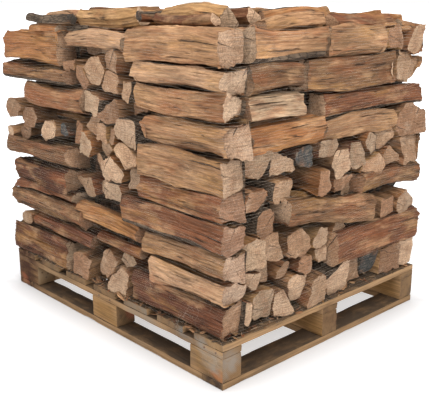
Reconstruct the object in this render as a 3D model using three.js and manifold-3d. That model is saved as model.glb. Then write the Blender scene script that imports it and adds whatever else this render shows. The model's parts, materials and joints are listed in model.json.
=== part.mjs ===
// A wooden pallet stacked to about a metre with split logs.
// Millimetres, +Z up. The origin is the middle of the ground under the pallet.
// The front is the long side facing -Y, and the right side faces +X.
import * as THREE from 'three';
import { mergeVertices } from 'three/addons/utils/BufferGeometryUtils.js';
import Module from 'manifold-3d';

const wasm = await Module();
wasm.setup();

// Pallet
const PALLET_LENGTH = 1200;
const PALLET_DEPTH = 1000;
const BOARD_THICKNESS = 22;
const BLOCK_LENGTH = 145;
const BLOCK_WIDTH = 78;
const BLOCK_HEIGHT = 79;
const STRINGER_WIDTH = 80;
const BASE_END_WIDTH = 90;
const BASE_RUN_WIDTH = 75;
const DECK_BOARDS = 7;
const DECK_BOARD_WIDTH = 128;
const TOUCH_GAP = 0.3;

const STRINGER_BASE = BOARD_THICKNESS + BLOCK_HEIGHT;
const DECK_BASE = STRINGER_BASE + BOARD_THICKNESS;
const DECK_TOP = DECK_BASE + BOARD_THICKNESS;

// Stack
const FACE_X = 600;
const FACE_Y = 500;
const REACH_X = 620;
const REACH_Y = 520;
const STACK_BASE = DECK_TOP + TOUCH_GAP;
const STACK_TOP = 1028;
const ROW_DEPTH = 95;
const CROSS_DEPTH = 88;
const MIDDLE_LEFT = -203;
const MIDDLE_RIGHT = 193;
const MIDDLE_DEPTH = 370;
const STACK_GAP = 2;
const LOG_GAP = 5;
const SHORTEST_SIDE = 14;
const CLEARANCE = 1;
const INNER_Y = FACE_Y - ROW_DEPTH;
const CROSS_X = FACE_X - CROSS_DEPTH;
const CROSS_CLEAR = CROSS_DEPTH + 7;

// Places between the trunks of a row or a stack
const FRONT_ROW = { left: -FACE_Y, right: -INNER_Y, low: STACK_BASE, high: 1036 };
const CROSS_ROW = { left: CROSS_X, right: FACE_X, low: 250, high: 1036 };
const ENDS_LOW = STACK_BASE + STACK_GAP;
const MIDDLE = {
  left: MIDDLE_LEFT + STACK_GAP, right: MIDDLE_RIGHT - STACK_GAP, low: ENDS_LOW, high: STACK_TOP,
};
const SIDE = { left: -INNER_Y + 2 * STACK_GAP, right: FACE_Y, low: ENDS_LOW, high: STACK_TOP };

// Logs that lie along the front and the right side and show whole:
// [from, to, z, radius, shift, proud, slope, colour]. The z and the radius give a log its
// place in the row, the shift turns its split faces, proud is how far it stands out of the
// face, and the slope is how much higher its far end lies.
const FRONT_RIGHT_LOGS = [
  [152, 600, 203, 55, 6, 0, 0, 'log_red'],
  [250, 606, 294, 34, -8, 4, 0, 'log_pale'],
  [202, 601, 371, 41, 10, 0, 0, 'log_pale'],
  [118, 604, 456, 42, -10, 6, 0, 'log_brown'],
  [190, 598, 544, 44, 8, 0, 0, 'log_red'],
  [203, 600, 640, 50, -6, 4, 0, 'log_pale'],
  [238, REACH_X, 742, 49, 10, 8, 0, 'log_pale'],
  [202, 602, 828, 37, -10, 0, 0, 'log_brown'],
  [188, 604, 903, 37, 8, 4, 0, 'log_pale'],
  [160, 586, 988, 46, -4, 0, 0, 'log_pale'],
];
const FRONT_LEFT_LOGS = [
  [-REACH_X, -224, 203, 55, -6, 4, 0, 'log_red'],
  [-468, -62, 293, 33, 8, 0, 0, 'log_red'],
  [-616, -118, 366, 38, -8, 8, 0, 'log_pale'],
  [-600, -186, 427, 23, 6, 12, 0, 'log_red'],
  [-552, -176, 490, 38, -8, 16, 0, 'log_dark'],
  [-612, -172, 566, 36, 8, REACH_Y - FACE_Y, 0, 'log_brown'],
  [-480, -88, 778, 34, -8, 0, 0, 'log_pale'],
  [-612, -160, 868, 33, 8, 6, 0, 'log_brown'],
  [-614, -228, 954, 50, -6, 0, 0, 'log_brown'],
];
const RIGHT_NEAR_LOGS = [
  [-399, -63, 727, 42, 4, 8, 0, 'log_brown'],
  [-399, -150, 811, 40, -4, 0, 0, 'log_dark'],
  [-399, -152, 897, 42, -4, -2, 0, 'log_brown'],
  [-399, -62, 992, 44, 4, 8, 0, 'log_pale'],
];
const RIGHT_REAR_LOGS = [
  [-58, 340, 718, 36, 5, -4, 0, 'log_pale'],
  [-58, REACH_Y, 795, 37, -5, -16, 0, 'log_red'],
  [-146, 326, 887, 52, -3, -6, 0, 'log_red'],
  [-58, 250, 993, 44, 5, -2, 0, 'log_pale'],
];
const RIGHT_CROSS_LOGS = [
  [-236, 236, 500, 40, 6, 4, -80, 'log_brown'],
  [150, 506, 518, 31, -6, 0, 0, 'log_brown'],
  [16, 514, 312, 54, 8, 8, 0, 'log_red'],
];

// The log ends of the middle column on the front: [x, z, radius, setback].
// A setback is how far an end stands behind the face.
const FRONT_MIDDLE_ENDS = [
  [-140, 198, 50, 0], [-58, 172, 26, 60], [0, 240, 46, 6], [78, 195, 48, 0], [165, 200, 40, 100],
  [-160, 275, 30, 100], [-75, 300, 34, 100], [30, 315, 36, 100], [120, 262, 30, 14], [165, 320, 34, 100],
  [-160, 365, 40, 100], [-50, 395, 50, 100], [60, 385, 44, 100], [152, 385, 40, 100],
  [-165, 450, 34, 100], [-105, 495, 38, 10], [-28, 505, 30, 45], [65, 492, 42, 4], [158, 465, 38, 100],
  [-110, 562, 44, 0], [-25, 585, 30, 16], [62, 578, 44, 0], [155, 548, 36, 34],
  [-95, 638, 42, 0], [8, 636, 32, 14], [115, 640, 44, 2], [-175, 668, 34, 30],
  [-60, 705, 36, 30], [15, 692, 32, 8], [66, 684, 30, 4], [150, 712, 46, 0],
  [-140, 775, 40, 100], [-40, 790, 50, 4], [50, 768, 40, 2], [145, 790, 34, 60],
  [-150, 845, 34, 100], [-98, 862, 34, 2], [-25, 895, 44, 6], [150, 835, 42, 10], [55, 850, 38, 16],
  [-155, 892, 32, 2], [62, 930, 34, 14], [140, 912, 36, 130], [-160, 955, 38, 100], [-60, 975, 38, 100],
  [40, 990, 36, 100], [135, 985, 40, 100],
];

// The log ends of the right side: [y, z, radius, setback].
const RIGHT_SIDE_ENDS = [
  [-405, 215, 42, 0], [-315, 215, 44, 8], [-222, 200, 40, 0], [-140, 218, 42, 26], [-58, 198, 46, 0],
  [62, 198, 52, 0], [165, 208, 44, 34], [250, 212, 44, 22], [360, 205, 50, 0], [456, 208, 46, 6],
  [-370, 302, 32, 10], [-290, 300, 34, 40], [-200, 302, 34, 22], [-110, 300, 34, 16], [-30, 296, 34, 30],
  [75, 312, 44, CROSS_CLEAR], [170, 312, 46, CROSS_CLEAR], [268, 312, 46, CROSS_CLEAR],
  [366, 312, 46, CROSS_CLEAR], [458, 312, 46, CROSS_CLEAR],
  [-362, 385, 46, 0], [-265, 385, 42, 4], [-168, 376, 42, 2], [-45, 372, 42, 4], [48, 368, 34, 20],
  [140, 400, 40, CROSS_CLEAR], [235, 408, 40, 30], [318, 408, 40, 8], [425, 408, 42, 4],
  [-375, 470, 36, 60], [-300, 470, 42, 2], [-190, 460, 46, CROSS_CLEAR], [-85, 452, 44, CROSS_CLEAR],
  [15, 440, 40, CROSS_CLEAR], [110, 480, 40, 40], [205, 490, 42, CROSS_CLEAR],
  [305, 490, 44, CROSS_CLEAR], [405, 490, 44, CROSS_CLEAR], [478, 486, 34, CROSS_CLEAR],
  [-352, 560, 46, 0], [-238, 566, 42, 6], [-140, 570, 28, 110], [-55, 562, 42, 2], [58, 528, 30, 10],
  [-345, 650, 46, 0], [-240, 634, 40, 6], [-125, 642, 46, 10], [-38, 645, 36, 2], [40, 600, 44, 0],
  [118, 622, 40, 4], [205, 642, 42, 2], [228, 568, 42, 0], [290, 640, 30, 22], [328, 588, 30, 2],
  [425, 606, 50, -12],
  [-350, 735, 44, CROSS_CLEAR], [-250, 735, 44, CROSS_CLEAR], [-150, 735, 44, CROSS_CLEAR],
  [-50, 735, 44, CROSS_CLEAR], [60, 725, 44, CROSS_CLEAR], [160, 735, 44, CROSS_CLEAR],
  [260, 735, 44, CROSS_CLEAR], [425, 706, 50, -8],
  [-350, 820, 42, CROSS_CLEAR], [-245, 825, 44, CROSS_CLEAR], [-140, 820, 44, CROSS_CLEAR],
  [-35, 825, 42, CROSS_CLEAR], [70, 815, 42, CROSS_CLEAR], [170, 820, 42, CROSS_CLEAR],
  [270, 825, 44, CROSS_CLEAR], [360, 800, 40, CROSS_CLEAR], [450, 800, 38, CROSS_CLEAR],
  [-345, 905, 42, CROSS_CLEAR], [-240, 910, 42, CROSS_CLEAR], [-135, 905, 42, CROSS_CLEAR],
  [-30, 910, 42, CROSS_CLEAR], [75, 900, 42, CROSS_CLEAR], [180, 905, 42, CROSS_CLEAR],
  [275, 905, 42, CROSS_CLEAR], [388, 893, 54, 6],
  [-350, 985, 36, CROSS_CLEAR], [-250, 990, 34, CROSS_CLEAR], [-150, 982, 38, CROSS_CLEAR],
  [-50, 990, 36, CROSS_CLEAR], [50, 985, 34, CROSS_CLEAR], [150, 988, 38, CROSS_CLEAR],
  [225, 982, 36, CROSS_CLEAR], [312, 986, 36, 2], [412, 984, 48, 0],
];

// Logs that cross a stack or lie loose on top of it:
// [axis, from, to, across, z, radius, slope].
const LOOSE_LOGS = {
  front_middle_logs: [
    ['x', -222, 128, -448, 984, 34, 4], ['x', -202, 140, -400, 1054, 38, 8],
    ['x', -190, 160, -300, 1052, 38, 6], ['x', -176, 190, -464, 402, 36, -22],
    ['x', -56, 196, -462, 316, 24, -6],
  ],
  right_side_logs: [
    ['x', 206, 500, -372, 1060, 40, 4], ['x', 212, 500, -280, 1058, 34, 6],
    ['y', -330, -46, 546, 1044, 38, 20], ['y', -240, 70, 484, 1056, 38, 8],
    ['y', 0, 338, 548, 1046, 30, -6], ['y', -230, 160, 400, 1060, 36, 0],
    ['y', 84, 440, 490, 1050, 36, -6], ['y', 344, 500, 552, 1034, 30, -20],
    ['y', -210, 130, 300, 1060, 36, 4], ['y', 180, 470, 400, 1046, 34, 0],
    ['x', 206, 352, 200, 1048, 30, 0], ['x', 236, 500, -424, 1056, 25, 0],
    ['y', -474, -372, 202, 1064, 20, 0],
  ],
  left_side_logs: [
    ['x', -462, -250, -456, 1016, 22, 0], ['x', -462, -176, -462, 1048, 22, 0],
    ['x', -560, -272, -340, 1052, 36, 8], ['y', -250, 90, -480, 1048, 34, 0],
    ['y', -240, 100, -390, 1056, 36, 0], ['x', -560, -214, 170, 1050, 34, 0],
    ['y', 220, 470, -420, 1046, 34, 0], ['y', -200, 120, -290, 1052, 36, 6],
    ['y', -512, -140, -578, 632, 31, 0], ['y', -506, -136, -562, 715, 50, 0],
    ['y', -500, -132, -452, 688, 46, 0], ['y', -498, -130, -328, 658, 46, 0],
    ['y', -482, -134, -242, 662, 36, 0], ['y', -486, -136, -512, 634, 34, 0],
    ['y', -474, -134, -392, 630, 30, 0], ['y', -500, -140, -522, 290, 38, 0],
    ['y', 20, 440, -556, 380, 44, 0], ['y', -350, 30, -556, 470, 44, 0],
    ['y', 60, 470, -556, 466, 42, 0], ['y', -10, 380, -556, 800, 44, 0],
  ],
  back_middle_logs: [
    ['y', 150, 460, -120, 1046, 34, 0], ['y', 140, 470, -20, 1050, 36, 0],
    ['x', 20, 176, 380, 1046, 32, 0],
  ],
  middle_logs: [
    ['x', -180, 170, -88, 1026, 42, 0], ['x', -190, 150, 0, 1028, 44, 0],
    ['x', -170, 180, 86, 1024, 42, 0], ['x', -150, 180, -44, 1064, 32, 0],
  ],
};

// The wood inside a stack: how far it stands behind the end faces, behind the sides of
// the outer logs, and how far each log reaches into it
const CORE_DEPTH = 120;
const CORE_EDGE = 35;
const CORE_TOP = 950;
const JOIN_DEPTH = 8;
const CORNER_SETBACK = 24;
const HIDDEN_SETBACK = CROSS_CLEAR;

// Rows of the hidden left side and back
const ROWS = 9;
const SIDE_COLUMNS = 8;
const MIDDLE_COLUMNS = 4;
const END_SHARE = 0.44;
const END_SPREAD = 10;
const END_UNEVEN = 20;

// Seeds that make each stack's irregular pieces differ
const SINGLE_COUNT = 11;
const LEFT_COUNT = 200;
const BACK_COUNT = 400;
const LOOSE_COUNT = 600;

const COLOURS = {
  board: 0x96714c,
  board_old: 0x6b4f38,
  block: 0xa3784d,
  log_pale: 0xb98f66,
  log_brown: 0x9a6f4b,
  log_red: 0x8a5b3f,
  log_dark: 0x5a4638,
};

const part = new THREE.Group();

function addMesh(name, geometry, colour) {
  const material = new THREE.MeshStandardMaterial({
    color: COLOURS[colour], roughness: 0.85, metalness: 0,
  });
  const mesh = new THREE.Mesh(geometry, material);
  mesh.name = name;
  part.add(mesh);
  return mesh;
}

// A repeatable number between 0 and 1 for the given count.
function chance(count) {
  const wave = Math.sin(count * 12.9898 + 78.233) * 43758.5453;
  return wave - Math.floor(wave);
}

function boxGeometry(low, high) {
  const size = high.map((value, axis) => value - low[axis]);
  const geometry = new THREE.BoxGeometry(...size);
  geometry.translate(...low.map((value, axis) => value + size[axis] / 2));
  return geometry;
}

function addPallet() {
  const halfLength = PALLET_LENGTH / 2;
  const halfDepth = PALLET_DEPTH / 2;
  const inside = halfLength - BASE_END_WIDTH;

  // A board along the length of the pallet, on the row at -1, 0 or 1.
  const alongBoard = (row, width, end, low, high) => {
    const middle = row * (halfDepth - width / 2);
    return boxGeometry([-end, middle - width / 2, low], [end, middle + width / 2, high]);
  };
  const block = (column, row) => {
    const x = column * (halfLength - BLOCK_LENGTH / 2);
    const y = row * (halfDepth - BLOCK_WIDTH / 2);
    return boxGeometry(
      [x - BLOCK_LENGTH / 2, y - BLOCK_WIDTH / 2, BOARD_THICKNESS + TOUCH_GAP],
      [x + BLOCK_LENGTH / 2, y + BLOCK_WIDTH / 2, STRINGER_BASE - TOUCH_GAP],
    );
  };

  const endBoard = (left) => boxGeometry(
    [left, -halfDepth, 0], [left + BASE_END_WIDTH, halfDepth, BOARD_THICKNESS],
  );
  addMesh('base_end_board_left', endBoard(-halfLength), 'board_old');
  addMesh('base_end_board_right', endBoard(inside), 'board_old');
  for (const [row, rowName] of [[-1, 'front'], [0, 'middle'], [1, 'rear']]) {
    addMesh(`base_board_${rowName}`,
      alongBoard(row, BASE_RUN_WIDTH, inside - TOUCH_GAP, 0, BOARD_THICKNESS), 'board_old');
    for (const [column, columnName] of [[-1, 'left'], [0, 'centre'], [1, 'right']]) {
      addMesh(`block_${rowName}_${columnName}`, block(column, row), 'block');
    }
    addMesh(`stringer_board_${rowName}`,
      alongBoard(row, STRINGER_WIDTH, halfLength, STRINGER_BASE, DECK_BASE - TOUCH_GAP), 'board');
  }
  const step = (PALLET_LENGTH - DECK_BOARD_WIDTH) / (DECK_BOARDS - 1);
  for (let count = 0; count < DECK_BOARDS; count += 1) {
    const left = -halfLength + count * step;
    addMesh(`deck_board_${count + 1}`,
      boxGeometry([left, -halfDepth, DECK_BASE], [left + DECK_BOARD_WIDTH, halfDepth, DECK_TOP]), 'board');
  }
}

// The part of a convex outline that lies no further than reach from a point, along a direction.
function cutOutline(outline, point, direction, reach) {
  const beyond = ([u, z]) => (u - point[0]) * direction[0] + (z - point[1]) * direction[1] - reach;
  const kept = [];
  outline.forEach((corner, index) => {
    const next = outline[(index + 1) % outline.length];
    const here = beyond(corner);
    const there = beyond(next);
    if (here <= 0) kept.push(corner);
    if (here * there < 0) {
      const share = here / (here - there);
      kept.push([corner[0] + share * (next[0] - corner[0]), corner[1] + share * (next[1] - corner[1])]);
    }
  });
  return kept;
}

function middleOf(outline) {
  const sum = outline.reduce((total, corner) => [total[0] + corner[0], total[1] + corner[1]], [0, 0]);
  return sum.map((value) => value / outline.length);
}

// The outline without its shortest sides.
function plainOutline(outline) {
  return outline.filter((corner, index) => {
    const next = outline[(index + 1) % outline.length];
    return Math.hypot(next[0] - corner[0], next[1] - corner[1]) > SHORTEST_SIDE;
  });
}

// One more split face: cuts off the outline's far part in the direction of the angle.
function splitOutline(outline, angle, keep) {
  const middle = middleOf(outline);
  const direction = [Math.cos(angle), Math.sin(angle)];
  const reach = Math.max(...outline.map(([u, z]) => (
    (u - middle[0]) * direction[0] + (z - middle[1]) * direction[1])));
  return cutOutline(outline, middle, direction, keep * reach);
}

// The outline of a log where round trunks [u, z, radius] press on each other in an area.
function pressedOutline(trunks, index, area) {
  const [u, z, radius] = trunks[index];
  const low = Math.max(area.low, z - radius - LOG_GAP);
  const high = Math.min(area.high, z + radius + LOG_GAP);
  let outline = [[area.left, low], [area.right, low], [area.right, high], [area.left, high]];
  trunks.forEach(([otherU, otherZ, otherRadius], place) => {
    const span = Math.hypot(otherU - u, otherZ - z);
    if (place === index || span > 2 * (radius + otherRadius)) return;
    const reach = (span ** 2 + radius ** 2 - otherRadius ** 2) / (2 * span) - LOG_GAP / 2;
    outline = cutOutline(outline, [u, z], [(otherU - u) / span, (otherZ - z) / span], reach);
  });
  return outline;
}

// The six-sided outline of a loose log.
function looseOutline(across, z, radius, count) {
  const start = chance(count) * Math.PI;
  return Array.from({ length: 6 }, (_, corner) => {
    const angle = start + corner * Math.PI / 3;
    const reach = radius * (0.86 + 0.14 * chance(count * 6 + corner));
    return [across + reach * Math.cos(angle), z + reach * Math.sin(angle)];
  });
}

// A log lying along X or Y. Its waist is a little thinner than its ends.
function logGeometry(axis, outline, from, to, { slope = 0, count = 1, grow = 0, steps = 3 } = {}) {
  const [middleU, middleZ] = middleOf(outline);
  const corners = outline.map(([u, z]) => {
    const factor = 1 + grow / Math.hypot(u - middleU, z - middleZ);
    return new THREE.Vector2(middleU + (u - middleU) * factor, middleZ + (z - middleZ) * factor);
  });
  const length = to - from + 2 * grow;
  const geometry = new THREE.ExtrudeGeometry(new THREE.Shape(corners), {
    depth: length, steps, bevelEnabled: false,
  });
  const { position } = geometry.attributes;
  for (let index = 0; index < position.count; index += 1) {
    const station = Math.round(position.getZ(index) / length * steps);
    const inner = station > 0 && station < steps;
    const waist = inner ? 0.9 + 0.1 * chance(count * 7 + station) : 1;
    const rise = slope * (axis === 'x' ? station : steps - station) / steps;
    position.setXY(
      index,
      middleU + (position.getX(index) - middleU) * waist,
      middleZ + (position.getY(index) - middleZ) * waist + rise,
    );
  }
  const across = axis === 'x' ? new THREE.Vector3(0, 1, 0) : new THREE.Vector3(1, 0, 0);
  const up = new THREE.Vector3(0, 0, 1);
  const ahead = new THREE.Vector3().crossVectors(across, up);
  const start = axis === 'x' ? from - grow : to + grow;
  const place = new THREE.Matrix4().makeBasis(across, up, ahead);
  place.setPosition(axis === 'x' ? start : 0, axis === 'x' ? 0 : start, 0);
  return geometry.applyMatrix4(place);
}

function toSolid(geometry) {
  const plain = geometry.clone();
  plain.deleteAttribute('normal');
  plain.deleteAttribute('uv');
  const merged = mergeVertices(plain, 1e-3);
  return new wasm.Manifold(new wasm.Mesh({
    numProp: 3,
    vertProperties: new Float32Array(merged.attributes.position.array),
    triVerts: new Uint32Array(merged.index.array),
  }));
}

function toGeometry(solid) {
  const mesh = solid.getMesh();
  const geometry = new THREE.BufferGeometry();
  geometry.setAttribute('position', new THREE.BufferAttribute(new Float32Array(mesh.vertProperties), 3));
  geometry.setIndex(new THREE.BufferAttribute(new Uint32Array(mesh.triVerts), 1));
  return geometry;
}

// The single logs, a little grown, for the stacks to keep clear of.
const singles = [];

// A row of single logs along X or Y, each its own piece. outward is the side that shows.
function addRow(prefix, axis, logs, area, outward, first = 1) {
  const middle = (area.left + area.right) / 2;
  const trunks = logs.map(([, , z, radius, shift]) => [middle + shift, z, radius]);
  logs.forEach(([from, to, , , , proud, slope, colour], index) => {
    const room = { ...area };
    room[outward < 0 ? 'left' : 'right'] += outward * proud;
    const count = SINGLE_COUNT * singles.length + index;
    const lean = 0.35 + 0.6 * chance(count + 1);
    const straight = outward < 0 ? Math.PI : 0;
    let outline = pressedOutline(trunks, index, room);
    outline = splitOutline(outline, straight + lean, 0.72 + 0.24 * chance(count + 2));
    outline = splitOutline(outline, straight + lean - 1.25, 0.72 + 0.24 * chance(count + 3));
    outline = plainOutline(outline);
    addMesh(`${prefix}_${index + first}`, logGeometry(axis, outline, from, to, { slope, count }), colour);
    singles.push(toSolid(logGeometry(axis, outline, from, to, { slope, count, grow: CLEARANCE })));
  });
}

// Rows of log ends that fill an area, each a little out of line: [u, z, radius, setback].
function rowsOfEnds(area, columns, rows, count, setbackAt) {
  const width = (area.right - area.left) / columns;
  const height = (area.high - area.low) / rows;
  const ends = [];
  for (let number = count; number < count + rows * columns; number += 1) {
    const row = Math.floor((number - count) / columns);
    const column = (number - count) % columns;
    const stagger = row % 2 ? 0.12 : -0.12;
    const u = area.left + width * (column + 0.5 + stagger + 0.34 * (chance(number) - 0.5));
    const z = area.low + height * (row + 0.5 + 0.3 * (chance(number + 0.1) - 0.5));
    const setback = setbackAt(u, z) ?? END_UNEVEN * chance(number + 0.3);
    ends.push([u, z, END_SHARE * height + END_SPREAD * chance(number + 0.2), setback]);
  }
  return ends;
}

// The log ends of the left side. Where logs cross in front of them they end behind those,
// and the nearest ones stand back at the corner.
function leftEnds() {
  const crosses = LOOSE_LOGS.left_side_logs.filter(([axis, , , across, z]) => (
    axis === 'y' && across < -CROSS_X && z < CORE_TOP));
  const setbackAt = (y, z) => {
    const covered = crosses.some(([, from, to, , crossZ, radius]) => (
      y > from - LOG_GAP && y < to + LOG_GAP && Math.abs(z - crossZ) < radius + LOG_GAP));
    if (covered) return CROSS_DEPTH - JOIN_DEPTH;
    return y < -INNER_Y + ROW_DEPTH ? CORNER_SETBACK : null;
  };
  return rowsOfEnds(SIDE, SIDE_COLUMNS, ROWS, LEFT_COUNT, setbackAt);
}

// A stack of logs that lie close together, joined where they touch, on a core of the logs
// inside it. Each log shows its own end at the face, and those hidden by logs that cross in
// front of them are part of the core.
function addStack({ name, axis, ends, area, from, to, face, core, colour }) {
  let stack = toSolid(boxGeometry(...core));
  ends.forEach(([, z, radius, setback], index) => {
    if (setback >= HIDDEN_SETBACK && z + radius < CORE_TOP) return;
    const turn = chance(index + 0.5) * 2 * Math.PI;
    const pressed = pressedOutline(ends, index, area);
    const outline = plainOutline(splitOutline(pressed, turn, 0.78 + 0.22 * chance(index + 0.6)));
    const start = face < 0 ? from + setback : from + JOIN_DEPTH;
    const end = face < 0 ? to - JOIN_DEPTH : to - setback;
    stack = stack.add(toSolid(logGeometry(axis, outline, start, end, { count: index, steps: 1 })));
  });
  LOOSE_LOGS[name].forEach(([direction, start, end, across, z, radius, slope], index) => {
    const outline = looseOutline(across, z, radius, LOOSE_COUNT + index);
    const shape = { slope, count: index, steps: 1 };
    stack = stack.add(toSolid(logGeometry(direction, outline, start, end, shape)));
  });
  singles.forEach((single) => {
    stack = stack.subtract(single);
  });
  const bodies = stack.decompose().sort((one, two) => two.volume() - one.volume());
  addMesh(name, toGeometry(bodies[0]), colour);
}

addPallet();
addRow('front_right_log', 'x', FRONT_RIGHT_LOGS, FRONT_ROW, -1);
addRow('front_left_log', 'x', FRONT_LEFT_LOGS, FRONT_ROW, -1);
addRow('right_near_log', 'y', RIGHT_NEAR_LOGS, CROSS_ROW, 1);
addRow('right_rear_log', 'y', RIGHT_REAR_LOGS, CROSS_ROW, 1);
RIGHT_CROSS_LOGS.forEach((log, index) => addRow('right_cross_log', 'y', [log], CROSS_ROW, 1, index + 1));

addStack({
  name: 'front_middle_logs',
  axis: 'y',
  ends: FRONT_MIDDLE_ENDS,
  area: MIDDLE,
  from: -FACE_Y,
  to: -FACE_Y + MIDDLE_DEPTH,
  face: -1,
  core: [[MIDDLE_LEFT, -FACE_Y + CORE_DEPTH, STACK_BASE],
    [MIDDLE_RIGHT, -FACE_Y + MIDDLE_DEPTH, CORE_TOP]],
  colour: 'log_pale',
});
addStack({
  name: 'right_side_logs',
  axis: 'x',
  ends: RIGHT_SIDE_ENDS,
  area: SIDE,
  from: MIDDLE_RIGHT + STACK_GAP,
  to: FACE_X,
  face: 1,
  core: [[MIDDLE_RIGHT + STACK_GAP, -INNER_Y + STACK_GAP, STACK_BASE],
    [FACE_X - CORE_DEPTH, FACE_Y - CORE_EDGE, CORE_TOP]],
  colour: 'log_pale',
});
addStack({
  name: 'left_side_logs',
  axis: 'x',
  ends: leftEnds(),
  area: SIDE,
  from: -FACE_X,
  to: MIDDLE_LEFT - STACK_GAP,
  face: -1,
  core: [[-FACE_X + CORE_DEPTH, -INNER_Y + STACK_GAP, STACK_BASE],
    [MIDDLE_LEFT - STACK_GAP, FACE_Y - CORE_EDGE, CORE_TOP]],
  colour: 'log_brown',
});
addStack({
  name: 'back_middle_logs',
  axis: 'y',
  ends: rowsOfEnds(MIDDLE, MIDDLE_COLUMNS, ROWS, BACK_COUNT, () => null),
  area: MIDDLE,
  from: FACE_Y - MIDDLE_DEPTH,
  to: FACE_Y,
  face: 1,
  core: [[MIDDLE_LEFT, FACE_Y - MIDDLE_DEPTH, STACK_BASE], [MIDDLE_RIGHT, FACE_Y - CORE_EDGE, CORE_TOP]],
  colour: 'log_brown',
});
addStack({
  name: 'middle_logs',
  ends: [],
  core: [[MIDDLE_LEFT, -FACE_Y + MIDDLE_DEPTH + STACK_GAP, STACK_BASE],
    [MIDDLE_RIGHT, FACE_Y - MIDDLE_DEPTH - STACK_GAP, STACK_TOP - CORE_EDGE]],
  colour: 'log_brown',
});

export default part;
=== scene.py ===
import json
import math

import bmesh
import bpy
from mathutils import Matrix, Vector, geometry, noise

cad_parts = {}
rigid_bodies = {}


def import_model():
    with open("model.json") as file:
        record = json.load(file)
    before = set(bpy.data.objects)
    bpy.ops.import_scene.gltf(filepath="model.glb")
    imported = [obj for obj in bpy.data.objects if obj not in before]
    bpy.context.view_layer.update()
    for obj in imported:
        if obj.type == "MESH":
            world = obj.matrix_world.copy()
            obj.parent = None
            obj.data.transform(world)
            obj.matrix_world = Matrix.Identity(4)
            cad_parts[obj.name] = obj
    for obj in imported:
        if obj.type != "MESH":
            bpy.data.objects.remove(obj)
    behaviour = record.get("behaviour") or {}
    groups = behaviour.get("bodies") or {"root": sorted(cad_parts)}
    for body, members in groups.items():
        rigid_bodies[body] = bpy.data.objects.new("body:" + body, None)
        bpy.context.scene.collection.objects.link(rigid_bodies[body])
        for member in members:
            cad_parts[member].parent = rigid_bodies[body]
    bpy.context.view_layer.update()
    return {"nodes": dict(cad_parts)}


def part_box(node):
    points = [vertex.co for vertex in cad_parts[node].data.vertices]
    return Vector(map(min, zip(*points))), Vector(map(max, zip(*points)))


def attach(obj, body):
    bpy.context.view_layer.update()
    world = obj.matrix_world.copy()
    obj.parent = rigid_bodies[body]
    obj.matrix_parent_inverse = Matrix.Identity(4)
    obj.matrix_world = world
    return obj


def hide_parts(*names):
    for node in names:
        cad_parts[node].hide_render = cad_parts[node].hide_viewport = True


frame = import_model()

# Millimetres to metres
MM = 0.001

# The camera that saw the load: place, heading and tilt in radians, lens on a 36 mm sensor
CAMERA_PLACE = (1.9865, -1.8271, 1.1062)
CAMERA_HEADING = 2.3897
CAMERA_TILT = -0.2672
CAMERA_LENS = 60.9
SENSOR_WIDTH = 36.0

# The lights: name, place, what they point at, power and colour, and how wide they are
LIGHTS = [
    ("key_light", (2.6, -1.4, 3.4), (0, 0, 0.5), 115, (1.0, 0.98, 0.95)),
    ("front_light", (-1.2, -3.2, 2.6), (0, 0, 0.6), 20, (1.0, 0.99, 0.98)),
]
LIGHT_SIZE = 2.4

# The floor: its size, how far under the pallet it lies, its colour, and the light it gives
# off, a painted shadow round the pallet and painted light under it: from and to a distance from the pallet's
# edge, least and most
FLOOR_SIZE = 400
FLOOR_DROP = 0.5 * MM
FLOOR_COLOUR = (0.70, 0.70, 0.71, 1)
FLOOR_PAINTED_LIGHT = [
    # painted shadow: the glow is least at the pallet's edge and rises away from it
    (0.0, 130 * MM, 0.02, 0.42),
    (130 * MM, 1.6, 0.0, 1.0),
    # painted light under the pallet
    (-20 * MM, -60 * MM, 0.0, 0.55),
]

# The load's faces and levels, as in the frame, the middle column, the room between it and the
# stacks beside it, and how deep behind a stack's face the ends of its logs may lie
FACE_X = 600 * MM
FACE_Y = 500 * MM
STACK_BASE = 145 * MM
MIDDLE_LEFT = -203 * MM
MIDDLE_RIGHT = 193 * MM
MIDDLE_DEPTH = 370 * MM
COLUMN_GAP = 8 * MM
CORE_DEPTH = 115 * MM
BACK_CORE_DEPTH = 32 * MM

# How finely a log's surface is cut around it and along it: logs seen from the side,
# logs seen by their ends, loose logs on the hidden sides, other logs there, and logs deep inside
NEAR = {"around": 4.6 * MM, "along": 11 * MM}
ENDS = {"around": 5.8 * MM, "along": 24 * MM}
ASIDE = {"around": 6.4 * MM, "along": 18 * MM}
FAR = {"around": 8.0 * MM, "along": 30 * MM}
INNER = {"along": 120 * MM}

# How a log's solid is read: how near two points are one, how short a side or how slight a
# turn is left out of its outline, and the least area and most corners of a log's end
SAME_POINT = 0.01 * MM
SHORT_SIDE = 1 * MM
SLIGHT_TURN = 0.03
LEAST_END = 500 * MM * MM
MOST_CORNERS = 12

# A log's section: how much of its reach a trimming split leaves, how round the bark side and
# the other corners are, and how near the bark's direction the round and the bark start
TRIM_SHARE = 0.45
BARK_ROUND = 16 * MM
CORNER_ROUND = 2.2 * MM
ROUND_FROM = 0.25
BARK_FROM = 0.55
SIDE_ANGLES = {"top": math.pi / 2, "low": -math.pi / 2}

# The whole range of a log's bow, sway, twist, taper and leaning ends, the length that bows in
# full, the reach that is rough in full, and how long the calmer wood at its ends is
LOG_BOW = 22 * MM
LOG_SWAY = 12 * MM
LOG_TWIST = 0.26
LOG_TAPER = 0.34
END_LEAN = 0.44
BOWED_LENGTH = 300 * MM
ROUGH_REACH = 46 * MM
CALM_END = 30 * MM

# Torn wood and bark, in millimetres: how high each kind of unevenness is
TORN_WAVES = 9.0
TORN_RIDGES = 7.0
TORN_FIBRES = 3.0
TORN_LEDGES = 10.0
TORN_CREASES = 13.0
TORN_SINK = 2.6
BARK_WAVES = 4.0
BARK_LUMPS = 3.0
BARK_RISE = 0.5
SPLINTERS = 2.0
END_DENTS = 2.5

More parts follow.
